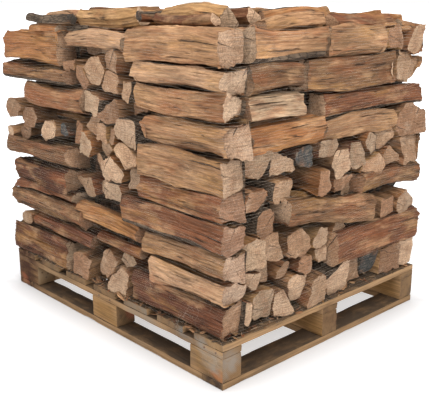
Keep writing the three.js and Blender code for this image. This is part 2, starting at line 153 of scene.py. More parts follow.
# How light a log and its ends are, from the least by a range, how far apart the grain of two
# logs lies, and how far off its middle a log's pith may lie
LOG_LIGHT = (0.86, 0.24)
END_LIGHT = (0.74, 0.42)
GRAIN_REACH = 30
PITH_REACH = 0.09

# Wood colours, linear
TONES = {
    "pale": (0.405, 0.242, 0.138),
    "tan": (0.310, 0.170, 0.087),
    "yellow": (0.365, 0.208, 0.092),
    "orange": (0.290, 0.130, 0.052),
    "clay": (0.250, 0.118, 0.058),
    "brown": (0.178, 0.092, 0.046),
    "red": (0.165, 0.067, 0.033),
    "rust": (0.112, 0.044, 0.024),
    "grey": (0.345, 0.240, 0.150),
    "dark": (0.060, 0.036, 0.024),
    "slate": (0.066, 0.062, 0.055),
}
END_TONES = [
    (0.430, 0.268, 0.160), (0.360, 0.214, 0.125), (0.310, 0.168, 0.094), (0.405, 0.272, 0.172),
    (0.500, 0.330, 0.210),
]
DARK_ENDS = {"dark": (0.052, 0.044, 0.037), "slate": (0.070, 0.074, 0.072)}
# Painted shade: how much darker a log's end is painted at its rim
RIM_PAINTED_SHADE = 0.66
# Patches and marks in split wood, sawn ends, bark and boards
PALE_WOOD = (0.520, 0.320, 0.172)
RED_HEART = (0.215, 0.072, 0.028)
YELLOW_WOOD = (0.380, 0.200, 0.066)
GREY_STAIN = (0.085, 0.052, 0.034)
WOOD_CRACK = (0.036, 0.020, 0.013)
END_BLOTCH = (0.270, 0.138, 0.076)
END_PALE = (0.56, 0.40, 0.275)
END_CRACK = (0.070, 0.042, 0.028)
BARK_DARK = (0.062, 0.043, 0.030)
BARK_PALE = (0.170, 0.122, 0.084)
BARK_RED = (0.15, 0.075, 0.045)
LICHEN = (0.235, 0.195, 0.150)
FISSURE = (0.022, 0.017, 0.014)
BOARD_BLOTCH = (0.062, 0.042, 0.030)
BOARD_EDGE = (0.33, 0.200, 0.100)
BOARD_CRACK = (0.050, 0.030, 0.018)
# dirt and painted shade on the tops of boards
DECK_DIRT_AND_SHADE = (0.058, 0.040, 0.027)
BOARD_END_DARK = (0.150, 0.086, 0.040)
BOARD_END_PALE = (0.250, 0.152, 0.078)
BOARD_END_BLOTCH = (0.090, 0.058, 0.036)
CLEAN_THREAD = (0.46, 0.39, 0.32)
DUSTY_THREAD = (0.20, 0.155, 0.120)
BARE_STEEL = (0.10, 0.085, 0.075)
RUSTY_STEEL = (0.16, 0.065, 0.030)
# The boards' and blocks' fresh wood, worn wood and dirt
DECK_COLOURS = [(0.245, 0.140, 0.066), (0.345, 0.215, 0.112), (0.110, 0.070, 0.042)]
BASE_COLOURS = [(0.170, 0.098, 0.046), (0.250, 0.150, 0.074), (0.085, 0.052, 0.030)]
BLOCK_COLOURS = [(0.245, 0.128, 0.044), (0.310, 0.180, 0.072), (0.130, 0.070, 0.034)]
# How many waves of growth rings come in a metre, times two pi
LOG_RINGS = 1050.0
BOARD_RINGS = 1500.0

# How often each wood comes among the logs whose ends show
STACK_TONES = ["tan", "red", "orange", "brown", "clay", "tan", "brown", "orange", "yellow", "rust"]
# Log ends that stand out, per stack: sideways place, height, tone
STACK_LOOKS = {
    "right_side_logs": [(-125, 642, "slate"), (250, 212, "slate"), (388, 893, "tan"), (-345, 650, "orange")],
    "front_middle_logs": [(165, 200, "dark"), (115, 640, "pale"), (-110, 562, "pale")],
}
LOOK_REACH = 30 * MM
# How many of those logs wear bark and how many are trimmed, how near the deck a log stands on
# it, above what height an end is a loose log's, and which numbers a log's place is mixed with
BARK_SHARE = 0.38
TRIM_CHANCE = 0.5
FOOT = 12 * MM
TOP_ENDS = 1010 * MM
TURN_SALT = 3.0
BARK_SALT = 5.0
TRIM_SALT = 7.0
TRIMMED_SALT = 8.0
COUNT_SALT = 9.0

# The wood of the single logs in the order of their numbers, and those that wear bark below
# and not at the back
SINGLE_TONES = {
    "front_right_log": "rust pale tan red red tan tan tan pale tan",
    "front_left_log": "rust rust brown red rust brown clay brown orange",
    "right_near_log": "orange grey brown tan",
    "right_rear_log": "tan red brown tan",
    "right_cross_log": "brown brown red",
}
LOW_BARK = ("front_right_log_4", "front_left_log_8", "right_near_log_4", "right_rear_log_2")
# The sawn ends at the near corner, in the order of the logs' numbers
CORNER_ROW = "front_right_log"
CORNER_ENDS = [
    (0.330, 0.190, 0.110), (0.450, 0.310, 0.215), (0.420, 0.275, 0.185), (0.285, 0.155, 0.095),
    (0.270, 0.150, 0.092), (0.400, 0.260, 0.165), (0.390, 0.250, 0.160), (0.560, 0.385, 0.255),
    (0.430, 0.290, 0.190), (0.360, 0.225, 0.140),
]

# Logs whose tops lie open and get no painted shade, and where the painted shade of a gap starts,
# is full and how strong it is: behind the outer side of a log, and behind the end of a log
OPEN_LOGS = (
    "right_near_log_1", "right_near_log_4", "right_rear_log_4", "front_right_log_10", "front_left_log_9")
PAINTED_SHADE_BEHIND_SIDE = (26 * MM, 52 * MM, 0.72)
PAINTED_SHADE_BEHIND_END = (14 * MM, 130 * MM, 0.52)

# Logs that cross a stack or lie loose on top of it:
# axis, from, to, across, height, radius, slope, tone, bark side, in millimetres.
LOOSE_LOGS = {
    "front_middle_logs": [
        ("x", -222, 128, -448, 984, 34, 4, "pale", "back"),
        ("x", -202, 140, -400, 1054, 38, 8, "yellow", "back"),
        ("x", -190, 160, -300, 1052, 38, 6, "yellow", "back"),
        ("x", -176, 190, -464, 402, 36, -22, "orange", "back"),
        ("x", -56, 196, -462, 316, 24, -6, "red", "back"),
    ],
    "right_side_logs": [
        ("x", 206, 500, -372, 1060, 40, 4, "yellow", "back"),
        ("x", 212, 500, -280, 1058, 34, 6, "red", "top"),
        ("y", -330, -46, 546, 1044, 38, 20, "tan", "back"),
        ("y", -240, 70, 484, 1056, 38, 8, "orange", "back"),
        ("y", 0, 338, 548, 1046, 30, -6, "red", "back"),
        ("y", -230, 160, 400, 1060, 36, 0, "brown", "back"),
        ("y", 84, 440, 490, 1050, 36, -6, "orange", "back"),
        ("y", 344, 500, 552, 1034, 30, -20, "orange", "back"),
        ("y", -210, 130, 300, 1060, 36, 4, "brown", "top"),
        ("y", 180, 470, 400, 1046, 34, 0, "orange", "back"),
        ("x", 206, 352, 200, 1048, 30, 0, "brown", "top"),
        ("x", 236, 500, -424, 1056, 25, 0, "rust", "back"),
        ("y", -474, -372, 202, 1064, 20, 0, "dark", "top"),
    ],
    "left_side_logs": [
        ("x", -462, -250, -456, 1016, 22, 0, "orange", "back"),
        ("x", -462, -176, -462, 1048, 22, 0, "dark", "front"),
        ("x", -560, -272, -340, 1052, 36, 8, "pale", "back"),
        ("y", -250, 90, -480, 1048, 34, 0, "tan", "top"),
        ("y", -240, 100, -390, 1056, 36, 0, "brown", "back"),
        ("x", -560, -214, 170, 1050, 34, 0, "orange", "back"),
        ("y", 220, 470, -420, 1046, 34, 0, "tan", "top"),
        ("y", -200, 120, -290, 1052, 36, 6, "orange", "back"),
        ("y", -512, -140, -578, 632, 31, 0, "tan", "back"),
        ("y", -506, -136, -562, 715, 50, 0, "tan", "back"),
        ("y", -500, -132, -452, 688, 46, 0, "brown", "low"),
        ("y", -498, -130, -328, 658, 46, 0, "tan", "low"),
        ("y", -482, -134, -242, 662, 36, 0, "slate", "top"),
        ("y", -486, -136, -512, 634, 34, 0, "brown", "low"),
        ("y", -474, -134, -392, 630, 30, 0, "red", "top"),
        ("y", -500, -140, -522, 290, 38, 0, "tan", "back"),
        ("y", 20, 440, -556, 380, 44, 0, "orange", "back"),
        ("y", -350, 30, -556, 470, 44, 0, "brown", "low"),
        ("y", 60, 470, -556, 466, 42, 0, "tan", "low"),
        ("y", -10, 380, -556, 800, 44, 0, "red", "low"),
    ],
    "back_middle_logs": [
        ("y", 150, 460, -120, 1046, 34, 0, "tan", "top"),
        ("y", 140, 470, -20, 1050, 36, 0, "brown", "back"),
        ("x", 20, 176, 380, 1046, 32, 0, "tan", "top"),
    ],
    "middle_logs": [
        ("x", -180, 170, -88, 1026, 42, 0, "brown", "top"),
        ("x", -190, 150, 0, 1028, 44, 0, "orange", "back"),
        ("x", -170, 180, 86, 1024, 42, 0, "tan", "top"),
        ("x", -150, 180, -44, 1064, 32, 0, "orange", "back"),
    ],
}
# Loose logs: the first of their numbers, the least reach of a corner, how wide and how high
# their section is drawn, and the height and radius in millimetres above which they are trimmed
LOOSE_COUNT = 600
LOOSE_LEAST = 0.86
LOOSE_WIDTH = 1.12
LOOSE_HEIGHT = 0.94
TRIM_HEIGHT = 1000
TRIM_RADIUS = 24

# Logs deep inside a stack: the room that each takes, how much of it a log fills, its corners,
# how near a shown log none lies, the first of their numbers, and the parts of the stacks that
# have them: from and to sideways, from and to in height
INNER_WIDTH = 92 * MM
INNER_HEIGHT = 86 * MM
INNER_FILL = 0.47
INNER_CORNERS = ((-1, -0.7), (0.2, -1), (1, -0.3), (0.8, 0.9), (-0.7, 1))
INNER_NEAR = 46 * MM
INNER_COUNT = 5000
INNER_FACE_X = 504 * MM
INNER_FACE_Y = 395 * MM
SIDE_AREA = (-398 * MM, 498 * MM, STACK_BASE, 960 * MM)
MIDDLE_AREA = (MIDDLE_LEFT, MIDDLE_RIGHT, STACK_BASE, 960 * MM)
CORE_AREA = (-126 * MM, 126 * MM, STACK_BASE, 985 * MM)

# The wrapping net: where it starts and ends, between threads, its thread, how long the
# straight pieces of a thread are, how near the faces the logs lie that it touches, in which
# rows it has slack slanting threads, how far it stands off, and how far it wanders and shakes
NET_BASE = 152 * MM
NET_TOP = 1046 * MM
NET_SPACING = 9 * MM
NET_THREAD = 0.30 * MM
NET_STEP = 55 * MM
NET_SLAB = 20 * MM
NET_REACH = 60 * MM
NET_SLANT_ROWS = 4
NET_OFF = 0.8 * MM
NET_WANDER = 26 * MM
NET_SHAKE = 2.5 * MM

# Torn ends of the net that hang in curls: how many, how many points and how long each is,
# how far they stand off the face, how much they turn, and the places that they start from and
# how far round them, in millimetres
CURL_COUNT = 26
CURL_POINTS = 26
CURL_STEP = 6 * MM
CURL_OFF = 2.5 * MM
CURL_TURN = 1.7
CURL_PLACES = [(560, 92), (585, 70), (540, 60), (300, 190), (420, 175), (500, 215), (150, 230)]
CURL_SPREAD = 24

# Where the net's threads are drawn together: place, how far above and below and how far
# along the faces it reaches, in millimetres, and how strongly
NET_BUNCHES = [
    ((600, -425, 921), 70, 60, 0.80), ((600, -300, 932), 42, 150, 0.60), ((-600, -500, 930), 50, 120, 0.60),
    ((300, -500, 700), 36, 160, 0.50), ((600, 300, 640), 36, 140, 0.50), ((-600, 200, 520), 40, 160, 0.50),
]

# Stains and dark patches on the pallet: place and reach in millimetres, colour, strength, and the side they
# are on
FRONT_SIDE = (0, -1, 0)
RIGHT_SIDE = (1, 0, 0)
PALLET_STAINS = [
    ((-560, -500, 22), 66, (0.210, 0.062, 0.030), 1.0, FRONT_SIDE),
    # a near-black patch that darkens the front faces towards the left end
    ((-600, -500, 90), 260, (0.050, 0.020, 0.010), 1.0, FRONT_SIDE),
    # a pale patch on the right face of the left front block
    ((-470, -480, 60), 60, (0.330, 0.235, 0.140), 0.70, RIGHT_SIDE),
    ((560, -500, 76), 60, (0.270, 0.240, 0.200), 0.75, FRONT_SIDE),
    ((575, -500, 34), 45, (0.330, 0.125, 0.050), 0.80, FRONT_SIDE),
    ((600, -470, 76), 60, (0.260, 0.220, 0.180), 0.75, RIGHT_SIDE),
    ((600, -450, 36), 45, (0.230, 0.130, 0.060), 0.60, RIGHT_SIDE),
    ((72, -430, 66), 40, (0.300, 0.070, 0.045), 0.90, RIGHT_SIDE),
    ((560, -500, 8), 70, (0.045, 0.028, 0.020), 0.85, FRONT_SIDE),
    ((600, 0, 90), 70, (0.100, 0.052, 0.024), 0.70, RIGHT_SIDE),
    ((210, -500, 112), 120, (0.215, 0.180, 0.140), 0.60, FRONT_SIDE),
    ((420, -500, 128), 46, (0.150, 0.140, 0.125), 0.85, FRONT_SIDE),
    ((505, -500, 116), 42, (0.230, 0.215, 0.190), 0.80, FRONT_SIDE),
    ((560, -500, 132), 50, (0.350, 0.220, 0.110), 0.70, FRONT_SIDE),
    ((600, -300, 8), 60, (0.120, 0.085, 0.055), 0.60, RIGHT_SIDE),
    ((600, 40, 60), 36, (0.120, 0.060, 0.030), 0.75, RIGHT_SIDE),
    ((430, -500, 112), 110, (0.120, 0.085, 0.060), 0.60, FRONT_SIDE),
    ((-300, -500, 120), 140, (0.120, 0.080, 0.045), 0.55, FRONT_SIDE),
]

# A board: how round its edges are, how far apart it is cut across and how much farther along
# it, how far in its edges are worn, how much dirt and painted shade darken its top, and its dents and chips
# in millimetres
BOARD_ROUND = 1.6 * MM
BOARD_CUTS = 14 * MM
BOARD_STRETCH = 2.2
BOARD_WORN = 5 * MM
TOP_DIRT_AND_SHADE = 0.92
BOARD_DENTS = 0.7
BOARD_CHIPS = 5.0

# Scraps of bark and splinters on the deck: how many, their lengths, how far in from the edge
# they lie, the parts of the edges that have them, how far they tilt, and their wood, and
# those wedged in each gap between deck boards, at the front and at the back
SCRAP_COUNT = 620
SCRAP_SEED = 7000
SCRAPS_IN_FRONT = 0.66
SCRAP_LENGTHS = (7 * MM, 34 * MM)
SCRAP_REACH = 46 * MM
SCRAP_SPAN_X = 585 * MM
SCRAP_SPAN_Y = 485 * MM
SCRAP_TILT = 1.1
WEDGED_COUNT = 15
WEDGED_LENGTHS = (26 * MM, 62 * MM)
WEDGED_DEPTH = 90 * MM
WEDGED_WANDER = 20 * MM
WEDGED_TURN = 0.7
SCRAP_TONES = ("brown", "tan", "clay", "dark", "grey", "red", "tan")
# Their width and thickness as parts of their length, and the draw above which one is bark
SCRAP_WIDTHS = (0.15, 0.43)
SCRAP_THICKNESSES = (0.06, 0.16)
SCRAP_BARK = 0.7

# Nail heads: radius, how much of it their front keeps, depth, and place and side in millimetres
NAIL_HEAD = 3.6 * MM
NAIL_FRONT = 0.8
NAIL_DEPTH = 1.6 * MM
NAIL_PLACES = [
    ((-455, -481, 72), RIGHT_SIDE), ((-455, -456, 61), RIGHT_SIDE), ((-455, -464, 48), RIGHT_SIDE),
    ((520, -500, 112), FRONT_SIDE), ((570, -500, 112), FRONT_SIDE), ((-30, -500, 112), FRONT_SIDE),
    ((34, -500, 112), FRONT_SIDE), ((-580, -500, 112), FRONT_SIDE), ((-536, -500, 112), FRONT_SIDE),
]


def chance(count):
    """A repeatable number between 0 and 1 for the given count, as in the solids."""
    wave = math.sin(count * 12.9898 + 78.233) * 43758.5453
    return wave - math.floor(wave)


def chances(count, steps, reach):
    """A repeatable vector whose parts lie between 0 and reach, one for each step."""
    return Vector([chance(count + step) * reach for step in steps])


def chance_at(place, salt=0.0):
    """A repeatable number between 0 and 1 for a place."""
    return chance(place[0] * 913.7 + place[1] * 571.3 + salt)


def swing(count, reach):
    """A repeatable number between minus and plus half the reach."""
    return (chance(count) - 0.5) * reach


def between(limits, share):
    return limits[0] + (limits[1] - limits[0]) * share


class Shader:
    """A small helper that adds and joins the nodes of one material."""

    def __init__(self, name):
        self.material = bpy.data.materials.new(name)
        self.material.use_nodes = True
        self.tree = self.material.node_tree
        self.surface = self.tree.nodes["Principled BSDF"]

    def add(self, kind, inputs=(), **settings):
        made = self.tree.nodes.new(kind)
        for key, value in settings.items():
            setattr(made, key, value)
        for key, value in dict(inputs).items():
            self.feed(made.inputs[key], value)
        return made

    def feed(self, socket, value):
        if isinstance(value, bpy.types.NodeSocket):
            self.tree.links.new(value, socket)
        else:
            socket.default_value = value

    def attribute(self, name, output="Vector"):
        return self.add("ShaderNodeAttribute", attribute_name=name).outputs[output]

    def stretched(self, vector, scale, place=(0, 0, 0)):
        return self.add("ShaderNodeMapping", {"Vector": vector, "Scale": scale, "Location": place}).outputs[0]

    def clouds(self, vector, scale, detail=4.0, rough=0.55, distortion=0.0):
        made = self.add("ShaderNodeTexNoise", {
            "Vector": vector, "Scale": scale, "Detail": detail, "Roughness": rough, "Distortion": distortion})
        return made.outputs["Fac"]

    def drawn(self, vector, scale, detail=4.0, rough=0.55, distortion=0.0, place=(0, 0, 0)):
        """Clouds drawn out along the grain: the scale along it and in both ways across it."""
        return self.clouds(self.stretched(vector, scale, place), 1.0, detail, rough, distortion)

    def levels(self, value, low, high, out_low=0.0, out_high=1.0):
        made = self.add("ShaderNodeMapRange", {
            "Value": value, "From Min": low, "From Max": high, "To Min": out_low, "To Max": out_high})
        return made.outputs[0]

    def vectors(self, kind, first, second=(0, 0, 0), output="Vector"):
        return self.add("ShaderNodeVectorMath", {0: first, 1: second}, operation=kind).outputs[output]

    def bent(self, vector, scale, reach):
        """The vector with its across parts pushed about by soft clouds, so the grain wanders."""
        clouds = self.add("ShaderNodeTexNoise", {
            "Vector": self.stretched(vector, scale), "Scale": 1.0, "Detail": 2.0, "Roughness": 0.5})
        push = self.vectors("SUBTRACT", clouds.outputs["Color"], (0.5, 0.5, 0.5))
        push = self.vectors("MULTIPLY", push, (0, reach, reach))
        return self.vectors("ADD", vector, push)

    def across(self, vector):
        """The vector without its part along the grain, and how long that is."""
        parts = self.add("ShaderNodeSeparateXYZ", {0: vector}).outputs
        flat = self.add("ShaderNodeCombineXYZ", {"X": parts["Y"], "Y": parts["Z"], "Z": 0.0}).outputs[0]
        return flat, self.vectors("LENGTH", flat, output="Value")

    def math(self, kind, first, second=0.0):
        return self.add("ShaderNodeMath", {0: first, 1: second}, operation=kind).outputs[0]

    def blend(self, amount, first, second, kind="MIX"):
        made = self.add("ShaderNodeMix", data_type="RGBA", blend_type=kind)
        self.feed(made.inputs["Factor"], amount)
        self.feed(made.inputs["A"], (*first, 1.0) if isinstance(first, tuple) else first)
        self.feed(made.inputs["B"], (*second, 1.0) if isinstance(second, tuple) else second)
        return made.outputs["Result"]

    def patched(self, colour, value, low, high, most, other):
        """The colour, turned to the other one where the value is near high, by most at most."""
        return self.blend(self.levels(value, low, high, 0.0, most), colour, other)

    def shaded(self, colour, value, low, high, dark, light):
        """The colour, made darker where the value is near low and lighter where near high."""
        return self.blend(1.0, colour, self.levels(value, low, high, dark, light), "MULTIPLY")

    def relief(self, height, distance, strength=1.0, below=None):
        made = self.add("ShaderNodeBump", {"Height": height, "Distance": distance, "Strength": strength})
        if below is not None:
            self.feed(made.inputs["Normal"], below)
        return made.outputs[0]

    def finish(self, colour, roughness, normal):
        self.feed(self.surface.inputs["Base Color"], colour)
        self.feed(self.surface.inputs["Roughness"], roughness)
        self.feed(self.surface.inputs["Normal"], normal)
        self.surface.inputs["Specular IOR Level"].default_value = 0.16
        return self.material


def split_wood():
    """Torn fibres along the log, with pale, red and grey patches and thin dark cracks."""
    wood = Shader("split_wood")
    grain = wood.bent(wood.attribute("grain"), (6, 18, 18), 0.016)
    fibre = wood.drawn(grain, (16, 320, 320), 4, 0.75)
    streak = wood.drawn(grain, (8, 120, 120), 5, 0.75, 0.3)
    band = wood.drawn(grain, (4.5, 38, 38), 5, 0.65, 0.0, (1, 6, 2))
    patch = wood.drawn(grain, (8.0, 20, 20), 6, 0.65, 0.0, (4, 2, 9))
    heart = wood.drawn(grain, (5.0, 16, 16), 6, 0.65, 0.0, (7, 9, 2))
    stain = wood.drawn(grain, (11, 30, 30), 6, 0.75, 0.0, (11, 7, 3))
    crack = wood.drawn(grain, (5.0, 90, 90), 5, 0.65, 0.4, (2, 5, 1))
    colour = wood.patched(wood.attribute("tone", "Color"), patch, 0.50, 0.62, 0.42, PALE_WOOD)
    colour = wood.patched(colour, heart, 0.51, 0.63, 0.52, RED_HEART)
    colour = wood.patched(colour, heart, 0.47, 0.34, 0.38, YELLOW_WOOD)
    colour = wood.patched(colour, stain, 0.55, 0.68, 0.60, GREY_STAIN)
    colour = wood.shaded(colour, band, 0.30, 0.70, 0.66, 1.30)
    colour = wood.shaded(colour, streak, 0.30, 0.70, 0.66, 1.32)
    colour = wood.shaded(colour, fibre, 0.32, 0.68, 0.62, 1.40)
    colour = wood.patched(colour, crack, 0.39, 0.33, 0.88, WOOD_CRACK)
    normal = wood.relief(band, 0.006, 0.8)
    normal = wood.relief(streak, 0.0028, 1.0, normal)
    normal = wood.relief(fibre, 0.0016, 1.0, normal)
    normal = wood.relief(wood.levels(crack, 0.32, 0.40), 0.005, 0.9, normal)
    return wood.finish(colour, wood.levels(streak, 0.3, 0.7, 0.95, 0.78), normal)


def end_grain():
    """A sawn log end: faint growth rings, wandering cracks, saw marks and blotches."""
    wood = Shader("end_grain")
    grain = wood.attribute("grain")
    ring = wood.attribute("ring")
    flat, distance = wood.across(wood.bent(ring, (9, 26, 26), 0.010))
    rings = wood.math("SINE", wood.math("MULTIPLY", distance, LOG_RINGS))
    direction = wood.vectors("NORMALIZE", flat)
    ray = wood.drawn(direction, (22, 22, 22), 4, 0.6)
    check = wood.drawn(direction, (5.5, 5.5, 5.5), 2, 0.4, 0.2, (3, 8, 1))
    spread = wood.drawn(grain, (30, 30, 30), 2, place=(8, 3, 5))
    blotch = wood.drawn(grain, (14, 22, 22), 5, 0.6)
    speck = wood.drawn(grain, (60, 160, 160), 3, 0.6)
    saw = wood.drawn(ring, (1, 26, 340), 3, 0.6, 0.0, (5, 1, 2))
    colour = wood.patched(wood.attribute("cap", "Color"), blotch, 0.50, 0.66, 0.55, END_BLOTCH)
    colour = wood.patched(colour, blotch, 0.47, 0.33, 0.35, END_PALE)
    colour = wood.shaded(colour, rings, -1.0, 1.0, 0.88, 1.07)
    colour = wood.shaded(colour, saw, 0.28, 0.72, 0.70, 1.26)
    colour = wood.shaded(colour, speck, 0.30, 0.70, 0.70, 1.28)
    colour = wood.shaded(colour, ray, 0.3, 0.7, 0.72, 1.18)
    split = wood.math("MULTIPLY", wood.levels(check, 0.365, 0.335), wood.levels(spread, 0.42, 0.52, 0.0, 0.9))
    colour = wood.blend(split, colour, END_CRACK)
    normal = wood.relief(saw, 0.0036, 0.9)
    normal = wood.relief(ray, 0.0032, 0.8, normal)
    normal = wood.relief(blotch, 0.009, 0.8, normal)
    return wood.finish(colour, 0.88, normal)


def bark():
    """Rough dark bark with long fissures and pale lichen."""
    skin = Shader("bark")
    grain = skin.attribute("grain")
    cells = skin.add("ShaderNodeTexVoronoi", {
        "Vector": skin.stretched(grain, (26, 95, 95)), "Scale": 1.0}, feature="DISTANCE_TO_EDGE")
    plates = cells.outputs["Distance"]
    rough = skin.drawn(grain, (45, 120, 120), 6, 0.7)
    patch = skin.drawn(grain, (8, 18, 18), 4, 0.6)
    colour = skin.blend(skin.levels(patch, 0.42, 0.62), BARK_DARK, BARK_PALE)
    colour = skin.patched(colour, patch, 0.36, 0.26, 0.7, BARK_RED)
    colour = skin.patched(colour, rough, 0.58, 0.72, 0.5, LICHEN)
    colour = skin.patched(colour, plates, 0.10, 0.0, 0.85, FISSURE)
    normal = skin.relief(skin.levels(plates, 0.0, 0.25), 0.005, 0.9)
    normal = skin.relief(rough, 0.003, 0.9, normal)
    return skin.finish(colour, 0.95, normal)


def sawn_board(name, fresh, worn, dirt, dirt_amount):
    """An old sawn board: grain along it, saw marks across it, dirt, with dirt and painted shade darkest on
    its top, stains, and worn pale edges."""
    wood = Shader(name)
    grain = wood.attribute("grain")
    stained = wood.add("ShaderNodeAttribute", attribute_name="stain").outputs
    fibre = wood.drawn(grain, (5, 190, 190), 6, 0.65)
    streak = wood.drawn(grain, (1.6, 42, 42), 4, 0.55, 0.6)
    patch = wood.drawn(grain, (5, 11, 11), 5, 0.62, 0.0, (3, 1, 4))
    blotch = wood.drawn(grain, (14, 26, 26), 4, 0.6, 0.0, (7, 2, 5))
    crack = wood.drawn(grain, (3, 60, 60), 4, 0.6, 0.3, (6, 1, 8))
    saw = wood.drawn(grain, (310, 9, 9), 2, 0.5)
    colour = wood.blend(wood.levels(streak, 0.32, 0.68), fresh, worn)
    colour = wood.patched(colour, patch, 0.44, 0.64, dirt_amount, dirt)
    colour = wood.patched(colour, blotch, 0.60, 0.74, 0.6, BOARD_BLOTCH)
    edge = wood.math("MULTIPLY", wood.attribute("wear", "Fac"), wood.levels(patch, 0.30, 0.56))
    colour = wood.blend(edge, colour, BOARD_EDGE)
    colour = wood.shaded(colour, fibre, 0.3, 0.7, 0.58, 1.32)
    colour = wood.patched(colour, crack, 0.37, 0.32, 0.8, BOARD_CRACK)
    # dirt and painted shade on the board's top
    dirt_and_shade_mix = wood.math("MULTIPLY", wood.attribute("dirt_and_shade", "Fac"), wood.levels(blotch, 0.36, 0.54, 0.45, 1.0))
    colour = wood.blend(dirt_and_shade_mix, colour, DECK_DIRT_AND_SHADE)
    mark = wood.math("MULTIPLY", stained["Alpha"], wood.levels(blotch, 0.34, 0.56, 0.55, 1.0))
    colour = wood.blend(mark, colour, stained["Color"])
    normal = wood.relief(fibre, 0.0020, 1.0)
    normal = wood.relief(saw, 0.0008, 0.5, normal)
    normal = wood.relief(wood.levels(crack, 0.31, 0.38), 0.003, 0.8, normal)
    return wood.finish(colour, 0.88, normal)


def board_end():
    """The sawn end of a board or block: arcs of growth rings and short cracks."""
    wood = Shader("board_end")
    stained = wood.add("ShaderNodeAttribute", attribute_name="stain").outputs
    flat, distance = wood.across(wood.attribute("grain"))
    distance = wood.math("ADD", distance, wood.math("MULTIPLY", wood.clouds(flat, 24, 3), 0.006))
    rings = wood.math("SINE", wood.math("MULTIPLY", distance, BOARD_RINGS))
    patch = wood.clouds(flat, 30, 5, 0.6)
    colour = wood.blend(wood.levels(rings, -0.6, 0.9), BOARD_END_DARK, BOARD_END_PALE)
    colour = wood.patched(colour, patch, 0.46, 0.66, 0.8, BOARD_END_BLOTCH)
    mark = wood.math("MULTIPLY", stained["Alpha"], wood.levels(patch, 0.34, 0.56, 0.35, 1.0))
    colour = wood.blend(mark, colour, stained["Color"])
    normal = wood.relief(rings, 0.0006, 0.5)
    return wood.finish(colour, 0.9, wood.relief(patch, 0.0015, 0.6, normal))


def net_thread():
    """Thin off-white plastic thread, dusty in places."""
    thread = Shader("net_thread")
    place = thread.add("ShaderNodeTexCoord").outputs["Object"]
    dust = thread.clouds(place, 9, 3)
    colour = thread.blend(thread.levels(dust, 0.40, 0.62), CLEAN_THREAD, DUSTY_THREAD)
    return thread.finish(colour, 0.55, thread.relief(dust, 0.0002, 0.2))


def nail_steel():
    """Dull steel with rust on it."""
    steel = Shader("nail_steel")
    place = steel.add("ShaderNodeTexCoord").outputs["Object"]
    rust = steel.clouds(place, 260, 4)
    colour = steel.blend(steel.levels(rust, 0.4, 0.6), BARE_STEEL, RUSTY_STEEL)
    return steel.finish(colour, 0.6, steel.relief(rust, 0.0005, 0.5))


SPLIT_WOOD = split_wood()
END_GRAIN = end_grain()
BARK = bark()
DECK_WOOD = sawn_board("deck_wood", *DECK_COLOURS, 0.6)
BASE_WOOD = sawn_board("base_wood", *BASE_COLOURS, 0.75)
BLOCK_WOOD = sawn_board("block_wood", *BLOCK_COLOURS, 0.6)
BOARD_END = board_end()
NAIL_STEEL = nail_steel()
NET_THREADS = net_thread()
LOG_MATERIALS = [SPLIT_WOOD, END_GRAIN, BARK]


def centre_of(outline):
    return sum(outline, Vector((0, 0))) / len(outline)


def tidy_outline(points):
    """The corners in order round their centre, without those that lie along a straight side."""
    centre = centre_of(points)
    ordered = sorted(points, key=lambda p: math.atan2(p.y - centre.y, p.x - centre.x))
    kept = []
    for index, point in enumerate(ordered):
        before = point - ordered[index - 1]
        after = ordered[(index + 1) % len(ordered)] - point
        if before.length > SHORT_SIDE and abs(before.normalized().cross(after.normalized())) > SLIGHT_TURN:
            kept.append(point)
    return kept


def end_outlines(node, axis, facing):
    """The flat ends of a node's logs that face one way: [(place along the axis, outline), ...]."""
    shape = bmesh.new()
    shape.from_mesh(frame["nodes"][node].data)
    bmesh.ops.remove_doubles(shape, verts=shape.verts, dist=SAME_POINT)
    ends = [face for face in shape.faces if face.normal[axis] * facing > 0.9999]
    waiting = set(ends)
    across = 1 - axis
    found = []
    while waiting:
        group = [waiting.pop()]
        for face in group:
            for edge in face.edges:
                for near in edge.link_faces:
                    if near in waiting:
                        waiting.remove(near)
                        group.append(near)
        inside = set(group)
        rim = {vert for face in group for edge in face.edges
               if sum(near in inside for near in edge.link_faces) == 1 for vert in edge.verts}
        area = sum(face.calc_area() for face in group)
        points = tidy_outline([Vector((vert.co[across], vert.co.z)) for vert in rim])
        if area > LEAST_END and 3 <= len(points) <= MOST_CORNERS:
            found.append((group[0].calc_center_median()[axis], points))
    shape.free()
    return sorted(found, key=lambda end: (round(end[1][0].y, 4), round(end[1][0].x, 4)))


def loose_outline(across, height, radius, count):
    """The six-cornered section of a loose log, a little wider than high."""
    start = chance(count) * math.pi
    points = []
    for corner in range(6):
        angle = start + corner * math.pi / 3
        reach = radius * (LOOSE_LEAST + (1 - LOOSE_LEAST) * chance(count * 6 + corner))
        points.append(Vector((
            across + LOOSE_WIDTH * reach * math.cos(angle),
            height + LOOSE_HEIGHT * reach * math.sin(angle))) * MM)
    return points


def bark_direction(side, outward):
    """The direction in the section plane in which a log wears its bark."""
    if side == "front":
        return Vector((outward, 0.25)).normalized()
    if side == "back":
        return Vector((-outward, -0.2)).normalized()
    return Vector((math.cos(SIDE_ANGLES[side]), math.sin(SIDE_ANGLES[side])))


